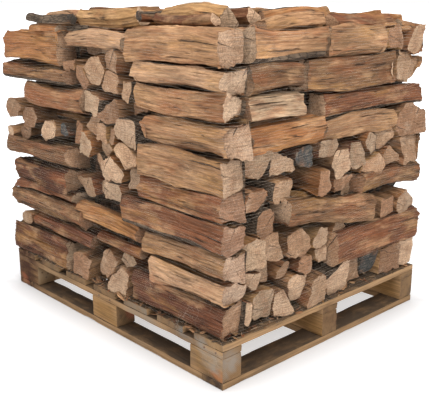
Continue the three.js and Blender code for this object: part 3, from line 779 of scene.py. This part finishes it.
def section_of(shape, outline, way, trim, cuts):
    """Draws a log's section in the plane across it: sawn off on one side, its split corners
    worn, its bark side round, and its rim cut fine."""
    centre = centre_of(outline)
    corners = [shape.verts.new((0, point.x - centre.x, point.y - centre.y)) for point in outline]
    shape.faces.new(corners)
    if trim is not None:
        side = Vector((0, math.cos(trim), math.sin(trim)))
        reach = max(corner.co.dot(side) for corner in corners)
        bmesh.ops.bisect_plane(
            shape, geom=shape.verts[:] + shape.edges[:] + shape.faces[:],
            plane_co=side * reach * TRIM_SHARE, plane_no=side, clear_outer=True)
    if cuts is INNER:
        return
    for round_side in (False, True):
        chosen = [corner for corner in shape.verts[:]
                  if (way is not None and corner.co.yz.normalized().dot(way) > ROUND_FROM) == round_side]
        if chosen:
            bmesh.ops.bevel(
                shape, geom=chosen, offset=BARK_ROUND if round_side else CORNER_ROUND,
                offset_type="OFFSET", affect="VERTICES", segments=4 if round_side else 2, profile=0.5,
                material=-1, clamp_overlap=True)
    for _ in range(5):
        long_edges = [edge for edge in shape.edges if edge.calc_length() > 1.5 * cuts["around"]]
        if not long_edges:
            break
        bmesh.ops.subdivide_edges(shape, edges=long_edges, cuts=1)


def painted_gap_shade(along, across, length, reach, facing):
    """How dark painted shade makes a place on a log: by how far behind its outer side it lies,
    or, for a log seen by its end, how far behind that end."""
    side, sign = facing
    depth = reach - sign * across if side == "side" else length - along if sign > 0 else along
    start, full, most = PAINTED_SHADE_BEHIND_SIDE if side == "side" else PAINTED_SHADE_BEHIND_END
    return 1 - most * min(1.0, max(0.0, (depth - start) / (full - start)))


def paint_log(shape, rim, length, tone, count, facing, cap):
    """Writes on a log's points where they lie in its grain and its growth rings, and the
    colours of its wood, with painted shade deeper in a gap, and of its ends, with painted shade at their rim."""
    layers = shape.verts.layers
    grain_layer = layers.float_vector["grain"]
    ring_layer = layers.float_vector["ring"]
    tone_layer = layers.float_color["tone"]
    cap_layer = layers.float_color["cap"]
    offset = chances(count, (0.11, 0.12, 0.13), GRAIN_REACH)
    pith = Vector((0, swing(count + 0.14, PITH_REACH), swing(count + 0.15, PITH_REACH)))
    light = LOG_LIGHT[0] + LOG_LIGHT[1] * chance(count + 0.16)
    cap_light = END_LIGHT[0] + END_LIGHT[1] * chance(count + 0.17)
    colour = [part * light for part in TONES[tone]]
    sawn = DARK_ENDS.get(tone, END_TONES[int(chance(count + 0.18) * len(END_TONES))])
    cap = cap or [part * cap_light for part in sawn]
    # painted shade on the rim of a log's end
    cap_rim_painted_shade = [part * RIM_PAINTED_SHADE for part in cap]
    reach = max(abs(vert.co.y) for vert in shape.verts)
    for vert in shape.verts:
        vert[grain_layer] = vert.co + offset
        vert[ring_layer] = vert.co - pith
        # painted shade: darker the deeper a place lies behind the log's outer side or end
        shade = painted_gap_shade(vert.co.x, vert.co.y, length, reach, facing) if facing else 1.0
        vert[tone_layer] = (*(part * shade for part in colour), 1.0)
        vert[cap_layer] = (*(cap_rim_painted_shade if vert in rim else cap), 1.0)


def log_shape(axis, start, end, outline, tone, way, count, cuts, rise=0.0, trim=None, facing=None,
              cap=None):
    """One log as a bmesh: its section drawn out along it, split faces torn along the grain,
    sawn ends a little out of square, and bark on the side that way points to."""
    length = end - start
    centre = centre_of(outline)
    shape = bmesh.new()
    for name in ("grain", "ring"):
        shape.verts.layers.float_vector.new(name)
    for name in ("tone", "cap"):
        shape.verts.layers.float_color.new(name)
    section_of(shape, outline, way, trim, cuts)
    made = bmesh.ops.extrude_face_region(shape, geom=shape.faces[:], use_keep_orig=True)
    far = [item for item in made["geom"] if isinstance(item, bmesh.types.BMVert)]
    bmesh.ops.translate(shape, verts=far, vec=(length, 0, 0))
    runs = [edge for edge in shape.edges if abs(edge.verts[0].co.x - edge.verts[1].co.x) > length / 2]
    bmesh.ops.subdivide_edges(shape, edges=runs, cuts=max(1, round(length / cuts["along"]) - 1))
    bmesh.ops.recalc_face_normals(shape, faces=shape.faces)
    for face in shape.faces:
        face.smooth = True
        if abs(face.normal.x) > 0.99:
            face.material_index = 1
        elif way is not None and face.normal.yz.normalized().dot(way) > BARK_FROM:
            face.material_index = 2
    ends = [face for face in shape.faces if face.material_index == 1]
    middles = bmesh.ops.poke(shape, faces=ends, center_mode="MEAN_WEIGHTED")["verts"]
    rim = set(shape.verts) - set(middles)
    if cuts is not INNER:
        spokes = [edge for middle in middles for edge in middle.link_edges]
        bmesh.ops.subdivide_edges(shape, edges=spokes, cuts=3)
    shape.normal_update()
    paint_log(shape, rim, length, tone, count, facing, cap)
    if cuts is not INNER:
        roughen(shape, length, count, way)
    for vert in shape.verts:
        along, across, up = vert.co
        up += centre.y + rise * along / length
        across += centre.x
        vert.co = (start + along, across, up) if axis == "x" else (across, start + along, up)
    bmesh.ops.recalc_face_normals(shape, faces=shape.faces)
    return shape


def grain_noise(spot, along, across, seed):
    """Soft noise at a spot, with its waves closer across the grain than along it."""
    return noise.noise(Vector((spot.x * along, spot.y * across, spot.z * across)) + seed)


def torn_depth(spot, seed):
    """How far torn wood stands out, in millimetres: waves, ridges, fibres, ledges, creases."""
    wave = grain_noise(spot, 4.2, 12, seed)
    ridge = grain_noise(spot, 3.4, 46, -seed)
    fibre = grain_noise(spot, 9, 115, seed)
    ledge = math.floor(grain_noise(spot, 4.2, 24, seed * 2) * 4 + 0.5) / 4
    crease = grain_noise(spot, 2.2, 17, -seed * 3)
    return (TORN_WAVES * wave + TORN_RIDGES * (0.42 - abs(ridge) * 1.8) + TORN_FIBRES * fibre
            + TORN_LEDGES * ledge + TORN_CREASES * (0.20 - abs(crease) * 1.5) - TORN_SINK)


def bark_depth(spot, seed):
    """How far bark stands out, in millimetres: waves and lumps."""
    wave = grain_noise(spot, 4.2, 12, seed)
    return BARK_WAVES * wave + BARK_LUMPS * grain_noise(spot, 30, 60, seed) + BARK_RISE


def roughen(shape, length, count, way):
    """Moves a log's surface: torn ridges and hollows along the split faces, lumps on the bark,
    a slight bow, twist and taper, and sawn ends that lean and splinter."""
    seed = chances(count, (0.21, 0.22, 0.23), 50)
    bow = swing(count + 0.24, LOG_BOW) * min(1.0, length / BOWED_LENGTH)
    sway = swing(count + 0.25, LOG_SWAY)
    twist = swing(count + 0.26, LOG_TWIST)
    taper = swing(count + 0.27, LOG_TAPER)
    lean = Vector((swing(count + 0.28, 1), swing(count + 0.29, 1))) * END_LEAN
    reach = max(vert.co.yz.length for vert in shape.verts)
    rough = min(1.0, reach / ROUGH_REACH)
    moves = []
    for vert in shape.verts:
        spot = vert.co
        along, across, up = spot
        part = along / length
        from_end = min(along, length - along)
        side = vert.normal.yz
        depth = 0.0
        splinter = 0.0
        if side.length > 0.3:
            side.normalize()
            on_bark = way is not None and side.dot(way) > BARK_FROM
            depth = rough * (bark_depth(spot, seed) if on_bark else torn_depth(spot, seed))
            depth *= 0.65 + 0.35 * min(1.0, from_end / CALM_END)
            splinter = SPLINTERS * (1 + grain_noise(spot, 0, 90, seed))
        else:
            side = Vector((0, 0))
        place = Vector((across, up)) * (1 + taper * (part - 0.5)) + side * depth * MM
        turn = twist * (part - 0.5)
        place = Vector((
            place.x * math.cos(turn) - place.y * math.sin(turn),
            place.x * math.sin(turn) + place.y * math.cos(turn)))
        arch = math.sin(math.pi * part) - 0.6
        inward = 0.0
        if from_end < SAME_POINT:
            slant = lean.dot(Vector((across, up))) + lean.length * reach * 0.8
            dent = END_DENTS * (1 + noise.noise(Vector((across * 34, up * 34, part * 9)) + seed))
            inward = (slant + (splinter + dent) * MM) * (1 if along < length / 2 else -1)
        moves.append((vert, Vector((along + inward, place.x + sway * arch, place.y + bow * arch))))
    for vert, place in moves:
        vert.co = place


def new_piece(name, shapes, materials, slot, *nodes):
    """Joins finished bmeshes into one piece that stands for the given nodes."""
    whole = bmesh.new()
    for shape in shapes:
        part_mesh = bpy.data.meshes.new("part")
        shape.to_mesh(part_mesh)
        shape.free()
        whole.from_mesh(part_mesh)
        bpy.data.meshes.remove(part_mesh)
    mesh = bpy.data.meshes.new(name)
    whole.to_mesh(mesh)
    whole.free()
    for material in materials:
        mesh.materials.append(material)
    mesh.set_sharp_from_angle(angle=math.radians(27))
    piece = bpy.data.objects.new(name, mesh)
    bpy.context.scene.collection.objects.link(piece)
    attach(piece, "root")
    if nodes:
        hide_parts(*nodes)


def single_log(node, tone, cap):
    """A log that is its own piece, made fine from the ends and the length of its solid."""
    axis = 0 if node.startswith("front") else 1
    near_place, near_outline = end_outlines(node, axis, -1)[0]
    far_place, far_outline = end_outlines(node, axis, 1)[0]
    rise = centre_of(far_outline).y - centre_of(near_outline).y
    outward = -1 if axis == 0 else 1
    way = bark_direction("low" if node in LOW_BARK else "back", outward)
    count = sum(ord(letter) for letter in node)
    # logs whose tops lie open get no painted shade; the others are painted darker behind their outer side
    facing = None if node in OPEN_LOGS else ("side", outward)
    shape = log_shape(
        "xy"[axis], near_place, far_place, near_outline, tone, way, count, NEAR, rise, facing=facing,
        cap=cap)
    new_piece(f"{node}_wood", [shape], LOG_MATERIALS, "split log", node)


def stack_log_looks(name, centre):
    """The wood and the bark side of a log whose end shows."""
    tone = STACK_TONES[int(chance_at(centre) * len(STACK_TONES))]
    for place, height, look in STACK_LOOKS.get(name, ()):
        if (centre - Vector((place, height)) * MM).length < LOOK_REACH:
            tone = look
    if chance_at(centre, BARK_SALT) <= 1 - BARK_SHARE:
        return tone, None
    angle = chance_at(centre, TURN_SALT) * 2 * math.pi
    return tone, Vector((math.cos(angle), math.sin(angle)))


def trim_angle(outline):
    """Where a split face takes more off a log's section. Logs on the deck keep their foot."""
    centre = centre_of(outline)
    if chance_at(centre, TRIMMED_SALT) > TRIM_CHANCE:
        return None
    turn = chance_at(centre, TRIM_SALT)
    on_deck = min(point.y for point in outline) < STACK_BASE + FOOT
    return math.pi * (0.1 + 0.8 * turn) if on_deck else turn * 2 * math.pi


def stack(name, axis, facing, face, inner, deepest, cuts, inner_rows):
    """The logs of one stack: those whose ends show, those that cross them, and those inside."""
    shapes = []
    shown = []
    for place, outline in end_outlines(name, axis, facing) if facing else []:
        centre = centre_of(outline)
        if abs(place - face) > deepest or centre.y > TOP_ENDS:
            continue
        shown.append(outline)
        tone, way = stack_log_looks(name, centre)
        start, end = (place, inner) if facing < 0 else (inner, place)
        count = int(chance_at(centre, COUNT_SALT) * 9000)
        # painted shade: each log whose end shows is painted darker the deeper behind that end
        shapes.append(log_shape(
            "xy"[axis], start, end, outline, tone, way, count, cuts, trim=trim_angle(outline),
            facing=("end", facing)))
    for index, loose in enumerate(LOOSE_LOGS[name]):
        direction, start, end, place, height, radius, rise, tone, side = loose
        outline = loose_outline(place, height, radius, LOOSE_COUNT + index)
        way = bark_direction(side, -1 if direction == "x" else 1)
        trimmed = height > TRIM_HEIGHT and radius > TRIM_RADIUS
        trim = math.pi * (0.2 + 0.6 * chance(index + 0.7)) if trimmed else None
        shapes.append(log_shape(
            direction, start * MM, end * MM, outline, tone, way, LOOSE_COUNT + index,
            NEAR if cuts is ENDS else ASIDE, rise * MM, trim))
    for area, start, end in inner_rows:
        shapes += inner_logs(axis, area, start, end, shown)
    new_piece(f"{name}_wood", shapes, LOG_MATERIALS, "stacked logs", name)


def inner_logs(axis, area, start, end, shown):
    """Plain rows of logs inside a stack, where none of the shown logs lies, all in the darkest tone as
    painted shade.
    """
    left, right, low, high = area
    columns = round((right - left) / INNER_WIDTH)
    rows = round((high - low) / INNER_HEIGHT)
    width = (right - left) / columns
    height = (high - low) / rows
    centres = [centre_of(outline) for outline in shown]
    made = []
    for row in range(rows):
        for column in range(columns):
            middle = Vector((left + width * (column + 0.5), low + height * (row + 0.5)))
            if any((middle - centre).length < INNER_NEAR for centre in centres):
                continue
            outline = [middle + Vector((width * u, height * v)) * INNER_FILL for u, v in INNER_CORNERS]
            count = INNER_COUNT + row * 31 + column * 7
            # painted shade: the logs deep inside all take the darkest wood tone
            made.append(log_shape("xy"[axis], start, end, outline, "dark", None, count, INNER))
    return made


def stain_at(place, outward):
    """The colour and the strength of the stains at a place on the pallet."""
    red, green, blue, strength = 0.0, 0.0, 0.0, 0.0
    for centre, reach, colour, most, faces in PALLET_STAINS:
        nearness = max(0.0, 1 - (place - Vector(centre) * MM).length / (reach * MM))
        amount = min(1.0, 1.6 * nearness) * most
        if amount > strength and outward.dot(Vector(faces)) > 0.5:
            red, green, blue, strength = *colour, amount
    return red, green, blue, strength


def cut_box(shape, low, high, axis):
    """A box with worn edges, cut across in all three ways so that its faces can be uneven."""
    size = high - low
    bmesh.ops.create_cube(shape, size=1.0)
    bmesh.ops.scale(shape, vec=size, verts=shape.verts)
    bmesh.ops.translate(shape, vec=(low + high) / 2, verts=shape.verts)
    bmesh.ops.bevel(
        shape, geom=shape.edges[:], offset=BOARD_ROUND, offset_type="OFFSET", affect="EDGES",
        segments=2, profile=0.5, material=-1, clamp_overlap=True)
    for index in range(3):
        pieces = int(size[index] / (BOARD_CUTS * (BOARD_STRETCH if index == axis else 1)))
        for cut in range(1, pieces):
            place = low.copy()
            place[index] = low[index] + size[index] * cut / pieces
            normal = Vector((0, 0, 0))
            normal[index] = 1
            bmesh.ops.bisect_plane(
                shape, geom=shape.verts[:] + shape.edges[:] + shape.faces[:],
                plane_co=place, plane_no=normal)


def board(node):
    """A pallet board or block: its edges worn round and chipped, its faces a little uneven."""
    low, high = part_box(node)
    size = high - low
    axis = max(range(3), key=lambda index: size[index])
    is_block = node.startswith("block")
    shape = bmesh.new()
    wear_layer = shape.verts.layers.float.new("wear")
    grain_layer = shape.verts.layers.float_vector.new("grain")
    top_dirt_shade_layer = shape.verts.layers.float.new("dirt_and_shade")
    stain_layer = shape.verts.layers.float_color.new("stain")
    cut_box(shape, low, high, axis)
    count = sum(ord(letter) * (place + 1) for place, letter in enumerate(node))
    offset = chances(count, (0, 0.1, 0.2), 20)
    centre = (low + high) / 2
    shape.normal_update()
    order = [axis] + [index for index in range(3) if index != axis]
    for vert in shape.verts:
        edge_distance = sorted(min(vert.co[i] - low[i], high[i] - vert.co[i]) for i in range(3))[1]
        near_edge = max(0.0, 1 - edge_distance / BOARD_WORN)
        turned = Vector([vert.co[index] - centre[index] for index in order])
        vert[grain_layer] = turned + offset
        vert[wear_layer] = near_edge
        # dirt and painted shade on the tops of boards, not of blocks
        vert[top_dirt_shade_layer] = (0.0 if is_block else TOP_DIRT_AND_SHADE) * (vert.normal.z > 0.8)
        vert[stain_layer] = stain_at(vert.co, vert.normal)
        chip = max(0.0, grain_noise(turned, 16, 60, offset) - 0.05)
        dent = 0.5 + 0.5 * grain_noise(turned, 12, 40, -offset)
        vert.co -= vert.normal * (BOARD_DENTS * dent + BOARD_CHIPS * chip * near_edge) * MM
    for face in shape.faces:
        face.smooth = True
        face.material_index = 1 if abs(face.normal[axis]) > 0.9 else 0
    wood = BLOCK_WOOD if is_block else BASE_WOOD if node.startswith("base") else DECK_WOOD
    slot = "block" if is_block else "base board" if node.startswith("base") else "deck board"
    new_piece(f"{node}_wood", [shape], [wood, BOARD_END], slot, node)


def scrap(whole, length, draw, heading, place, lying, tone):
    """One bit of bark or splinter: flat, tilted, turned to its heading, and put in its place
    or laid on the deck there."""
    tone_layer = whole.verts.layers.float_color["tone"]
    grain_layer = whole.verts.layers.float_vector["grain"]
    width = between(SCRAP_WIDTHS, draw[0]) * length
    thickness = between(SCRAP_THICKNESSES, draw[1]) * length
    made = bmesh.ops.create_icosphere(whole, subdivisions=1, radius=0.5)["verts"]
    bmesh.ops.scale(whole, vec=(length, width, thickness), verts=made)
    turn = Matrix.Rotation(heading, 3, "Z")
    turn = turn @ Matrix.Rotation((draw[2] - 0.5) * SCRAP_TILT, 3, "X")
    turn = turn @ Matrix.Rotation((draw[3] - 0.5) * 0.8 * SCRAP_TILT, 3, "Y")
    for vert in made:
        vert[tone_layer] = (*TONES[tone], 1.0)
        vert[grain_layer] = vert.co + place
    bmesh.ops.rotate(whole, verts=made, cent=(0, 0, 0), matrix=turn)
    if lying:
        place = Vector((place.x, place.y, STACK_BASE - 1 * MM - min(vert.co.z for vert in made)))
    bmesh.ops.translate(whole, vec=place, verts=made)
    for face in {face for vert in made for face in vert.link_faces}:
        face.material_index = 1 if draw[4] > SCRAP_BARK else 0


def scraps():
    """Bits of bark and splinters that have fallen on the pallet's open edges, and that are
    wedged between the ends of its deck boards."""
    whole = bmesh.new()
    whole.verts.layers.float_color.new("tone")
    whole.verts.layers.float_vector.new("grain")
    for index in range(SCRAP_COUNT):
        draw = [chance(SCRAP_SEED + index * 8 + part) for part in range(8)]
        reach = SCRAP_REACH * draw[5]
        place = Vector((FACE_X - reach, (draw[6] * 2 - 1) * SCRAP_SPAN_Y, 0))
        if draw[7] < SCRAPS_IN_FRONT:
            place = Vector(((draw[6] * 2 - 1) * SCRAP_SPAN_X, -FACE_Y + reach, 0))
        length = between(SCRAP_LENGTHS, chance(index + 0.31) ** 2)
        heading = chance(index + 0.33) * math.pi
        scrap(whole, length, draw, heading, place, True, SCRAP_TONES[index % len(SCRAP_TONES)])
    boards = [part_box(node) for node in frame["nodes"] if node.startswith("deck")]
    boards.sort(key=lambda box: box[0].x)
    for gap, (before, after) in enumerate(zip(boards, boards[1:])):
        for index in range(2 * WEDGED_COUNT):
            draw = [chance(2 * SCRAP_SEED + gap * 400 + index * 8 + part) for part in range(8)]
            side = -1 if index % 2 else 1
            place = Vector((
                (before[1].x + after[0].x) / 2 + (draw[6] - 0.5) * WEDGED_WANDER,
                side * (FACE_Y - 4 * MM - WEDGED_DEPTH * draw[5]),
                before[0].z + 3 * MM + (before[1].z - before[0].z) * draw[3]))
            length = between(WEDGED_LENGTHS, draw[7])
            heading = (draw[4] - 0.5) * WEDGED_TURN
            scrap(whole, length, draw, heading, place, False, SCRAP_TONES[index % len(SCRAP_TONES)])
    new_piece("bark_scraps", [whole], [SPLIT_WOOD, BARK], "stacked logs")


def nails():
    """Round nail heads where the boards are nailed to the blocks, and in the blocks' sides."""
    shape = bmesh.new()
    for place, facing in NAIL_PLACES:
        made = bmesh.ops.create_cone(
            shape, cap_ends=True, segments=10, radius1=NAIL_HEAD, radius2=NAIL_HEAD * NAIL_FRONT,
            depth=NAIL_DEPTH)["verts"]
        turn = Vector(facing).to_track_quat("Z", "Y").to_matrix()
        bmesh.ops.rotate(shape, verts=made, cent=(0, 0, 0), matrix=turn)
        bmesh.ops.translate(shape, vec=Vector(place) * MM, verts=made)
    new_piece("pallet_nails", [shape], [NAIL_STEEL], "deck board")


def net_loop(places, height):
    """A thread's way round the load at one height: tight over the logs that stand out most."""
    near = [place.xy for place in places if abs(place.z - height) < NET_SLAB]
    corners = [near[index] for index in geometry.convex_hull_2d(near)]
    path = []
    for index, corner in enumerate(corners):
        following = corners[(index + 1) % len(corners)]
        pieces = max(1, round((following - corner).length / NET_STEP))
        path += [corner.lerp(following, piece / pieces) for piece in range(pieces)]
    return path


def drawn_height(place, height):
    """A thread's height at a place, pulled towards the nearest bunches."""
    for centre, above, along, pull in NET_BUNCHES:
        middle = Vector(centre) * MM
        up = abs(height - middle.z) / (above * MM)
        beside = (place - middle.xy).length / (along * MM)
        if up < 1 and beside < 1:
            height += (middle.z - height) * pull * (1 - beside * beside) * (1 - up ** 4)
    return height


def add_thread(threads, places, closed):
    line = threads.splines.new("POLY")
    line.points.add(len(places) - 1)
    for point, place in zip(line.points, places):
        point.co = (*place, 1.0)
    line.use_cyclic_u = closed


def add_rounds(threads):
    """The threads that go round the load, with slack slanting threads between some of them."""
    places = [
        vert.co for piece in bpy.data.objects if piece.name.endswith("_wood") and "_log" in piece.name
        for vert in piece.data.vertices
        if max(abs(vert.co.x) - FACE_X, abs(vert.co.y) - FACE_Y) > -NET_REACH]
    below = None
    for row in range(round((NET_TOP - NET_BASE) / NET_SPACING)):
        level = NET_BASE + row * NET_SPACING
        loop = []
        for place in net_loop(places, level):
            bunch = noise.noise(Vector((place.x * 2.6, place.y * 2.6, level * 7)))
            shake = noise.noise(Vector((place.x * 30, place.y * 30, row * 1.7)))
            outward = place.normalized() * NET_OFF
            height = drawn_height(place, level + NET_WANDER * bunch)
            loop.append(Vector((*(place + outward), height + NET_SHAKE * shake)))
        add_thread(threads, loop, True)
        if below and row % NET_SLANT_ROWS == 0:
            slants = []
            for index, place in enumerate(loop):
                lower = min(below, key=lambda other: (other.xy - place.xy).length_squared)
                slants += [lower] if index % 2 else [place]
            add_thread(threads, slants, True)
        below = loop


def add_curls(threads):
    """Torn ends of the net that hang in curls on the front."""
    for index in range(CURL_COUNT):
        across, height = CURL_PLACES[index % len(CURL_PLACES)]
        across += swing(index + 0.41, CURL_SPREAD)
        height += swing(index + 0.43, CURL_SPREAD)
        place = Vector((across * MM, -FACE_Y - CURL_OFF, height * MM))
        angle = chance(index + 0.45) * 2 * math.pi
        curl = []
        for point in range(CURL_POINTS):
            curl.append(place.copy())
            angle += CURL_TURN * noise.noise(Vector((point * 0.35, index * 3.1, 0.0)))
            place += Vector((math.cos(angle), 0, math.sin(angle))) * CURL_STEP
            place.x = min(place.x, FACE_X + 4 * MM)
        add_thread(threads, curl, False)


def wrapping_net():
    """The thin net: threads drawn tight round the load, one above the other, bunched here and
    there, and its torn ends."""
    threads = bpy.data.curves.new("wrapping_net", "CURVE")
    threads.dimensions = "3D"
    threads.bevel_depth = NET_THREAD / 2
    threads.bevel_resolution = 0
    add_rounds(threads)
    add_curls(threads)
    net = bpy.data.objects.new("wrapping_net", threads)
    threads.materials.append(NET_THREADS)
    bpy.context.scene.collection.objects.link(net)
    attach(net, "root")


def make_camera():
    """The camera that saw the load, built from its heading and tilt."""
    lens = bpy.data.cameras.new("camera")
    lens.lens = CAMERA_LENS
    lens.sensor_width = SENSOR_WIDTH
    lens.sensor_fit = "HORIZONTAL"
    camera = bpy.data.objects.new("camera", lens)
    ahead = Vector((
        math.cos(CAMERA_HEADING) * math.cos(CAMERA_TILT),
        math.sin(CAMERA_HEADING) * math.cos(CAMERA_TILT),
        math.sin(CAMERA_TILT)))
    right = Vector((math.sin(CAMERA_HEADING), -math.cos(CAMERA_HEADING), 0))
    above = right.cross(ahead)
    turn = Matrix((right, above, -ahead)).transposed().to_4x4()
    camera.matrix_world = Matrix.Translation(CAMERA_PLACE) @ turn
    bpy.context.scene.collection.objects.link(camera)
    bpy.context.scene.camera = camera


def add_light(name, place, target, power, colour):
    lamp = bpy.data.lights.new(name, "AREA")
    lamp.shape = "SQUARE"
    lamp.size = LIGHT_SIZE
    lamp.energy = power
    lamp.color = colour
    light = bpy.data.objects.new(name, lamp)
    aim = (Vector(target) - Vector(place)).to_track_quat("-Z", "Y").to_matrix().to_4x4()
    light.matrix_world = Matrix.Translation(place) @ aim
    bpy.context.scene.collection.objects.link(light)


def floor_painted_shadow_and_light():
    """Pale paint that glows: a painted shadow round the pallet, where the glow is least at its edge and rises
    away from it, and painted light under the pallet.
    """
    paint = Shader("floor_painted_shadow_and_light")
    parts = paint.add("ShaderNodeSeparateXYZ", {0: paint.add("ShaderNodeTexCoord").outputs["Object"]}).outputs
    beside = paint.math("SUBTRACT", paint.math("ABSOLUTE", parts["X"]), FACE_X)
    before = paint.math("SUBTRACT", paint.math("ABSOLUTE", parts["Y"]), FACE_Y)
    distance = paint.math("MAXIMUM", beside, before)
    glow = 0.0
    for start, end, least, most in FLOOR_PAINTED_LIGHT:
        glow = paint.math("MAXIMUM", glow, paint.levels(distance, start, end, least, most))
    # the glow is painted light, and where it is least near the pallet, painted shadow
    paint.feed(paint.surface.inputs["Emission Strength"], glow)
    paint.surface.inputs["Emission Color"].default_value = (1, 1, 1, 1)
    paint.surface.inputs["Base Color"].default_value = FLOOR_COLOUR
    paint.surface.inputs["Roughness"].default_value = 0.95
    paint.surface.inputs["Specular IOR Level"].default_value = 0.0
    return paint.material


def make_studio():
    """A pale floor that glows, with a painted shadow round the pallet and painted light under it, and soft
    light from above and from the camera's side.
    """
    shape = bmesh.new()
    bmesh.ops.create_grid(shape, x_segments=1, y_segments=1, size=FLOOR_SIZE)
    bmesh.ops.translate(shape, verts=shape.verts, vec=(0, 0, -FLOOR_DROP))
    mesh = bpy.data.meshes.new("floor")
    shape.to_mesh(mesh)
    shape.free()
    floor = bpy.data.objects.new("floor", mesh)
    bpy.context.scene.collection.objects.link(floor)
    mesh.materials.append(floor_painted_shadow_and_light())
    world = bpy.data.worlds.new("studio_air")
    world.use_nodes = True
    world.node_tree.nodes["Background"].inputs["Color"].default_value = (1.0, 1.0, 1.0, 1)
    world.node_tree.nodes["Background"].inputs["Strength"].default_value = 1.0
    bpy.context.scene.world = world
    bpy.context.scene.view_settings.view_transform = "Standard"
    for light in LIGHTS:
        add_light(*light)


make_camera()
make_studio()

for node in sorted(frame["nodes"]):
    row, _, number = node.rpartition("_")
    if node.startswith(("base", "block", "stringer", "deck")):
        board(node)
    elif row in SINGLE_TONES:
        index = int(number) - 1
        cap = CORNER_ENDS[index] if row == CORNER_ROW else None
        single_log(node, SINGLE_TONES[row].split()[index], cap)

stack("front_middle_logs", 1, -1, -FACE_Y, -FACE_Y + MIDDLE_DEPTH, CORE_DEPTH, ENDS,
      [(MIDDLE_AREA, -INNER_FACE_Y, -FACE_Y + MIDDLE_DEPTH)])
stack("right_side_logs", 0, 1, FACE_X, MIDDLE_RIGHT + COLUMN_GAP, CORE_DEPTH, ENDS,
      [(SIDE_AREA, MIDDLE_RIGHT + COLUMN_GAP, INNER_FACE_X)])
stack("left_side_logs", 0, -1, -FACE_X, MIDDLE_LEFT - COLUMN_GAP, CORE_DEPTH, FAR,
      [(SIDE_AREA, -INNER_FACE_X, MIDDLE_LEFT - COLUMN_GAP)])
stack("back_middle_logs", 1, 1, FACE_Y, FACE_Y - MIDDLE_DEPTH, BACK_CORE_DEPTH, FAR, [])
stack("middle_logs", 0, 0, 0.0, 0.0, 0.0, FAR, [(CORE_AREA, MIDDLE_LEFT, MIDDLE_RIGHT)])

scraps()
nails()
wrapping_net()
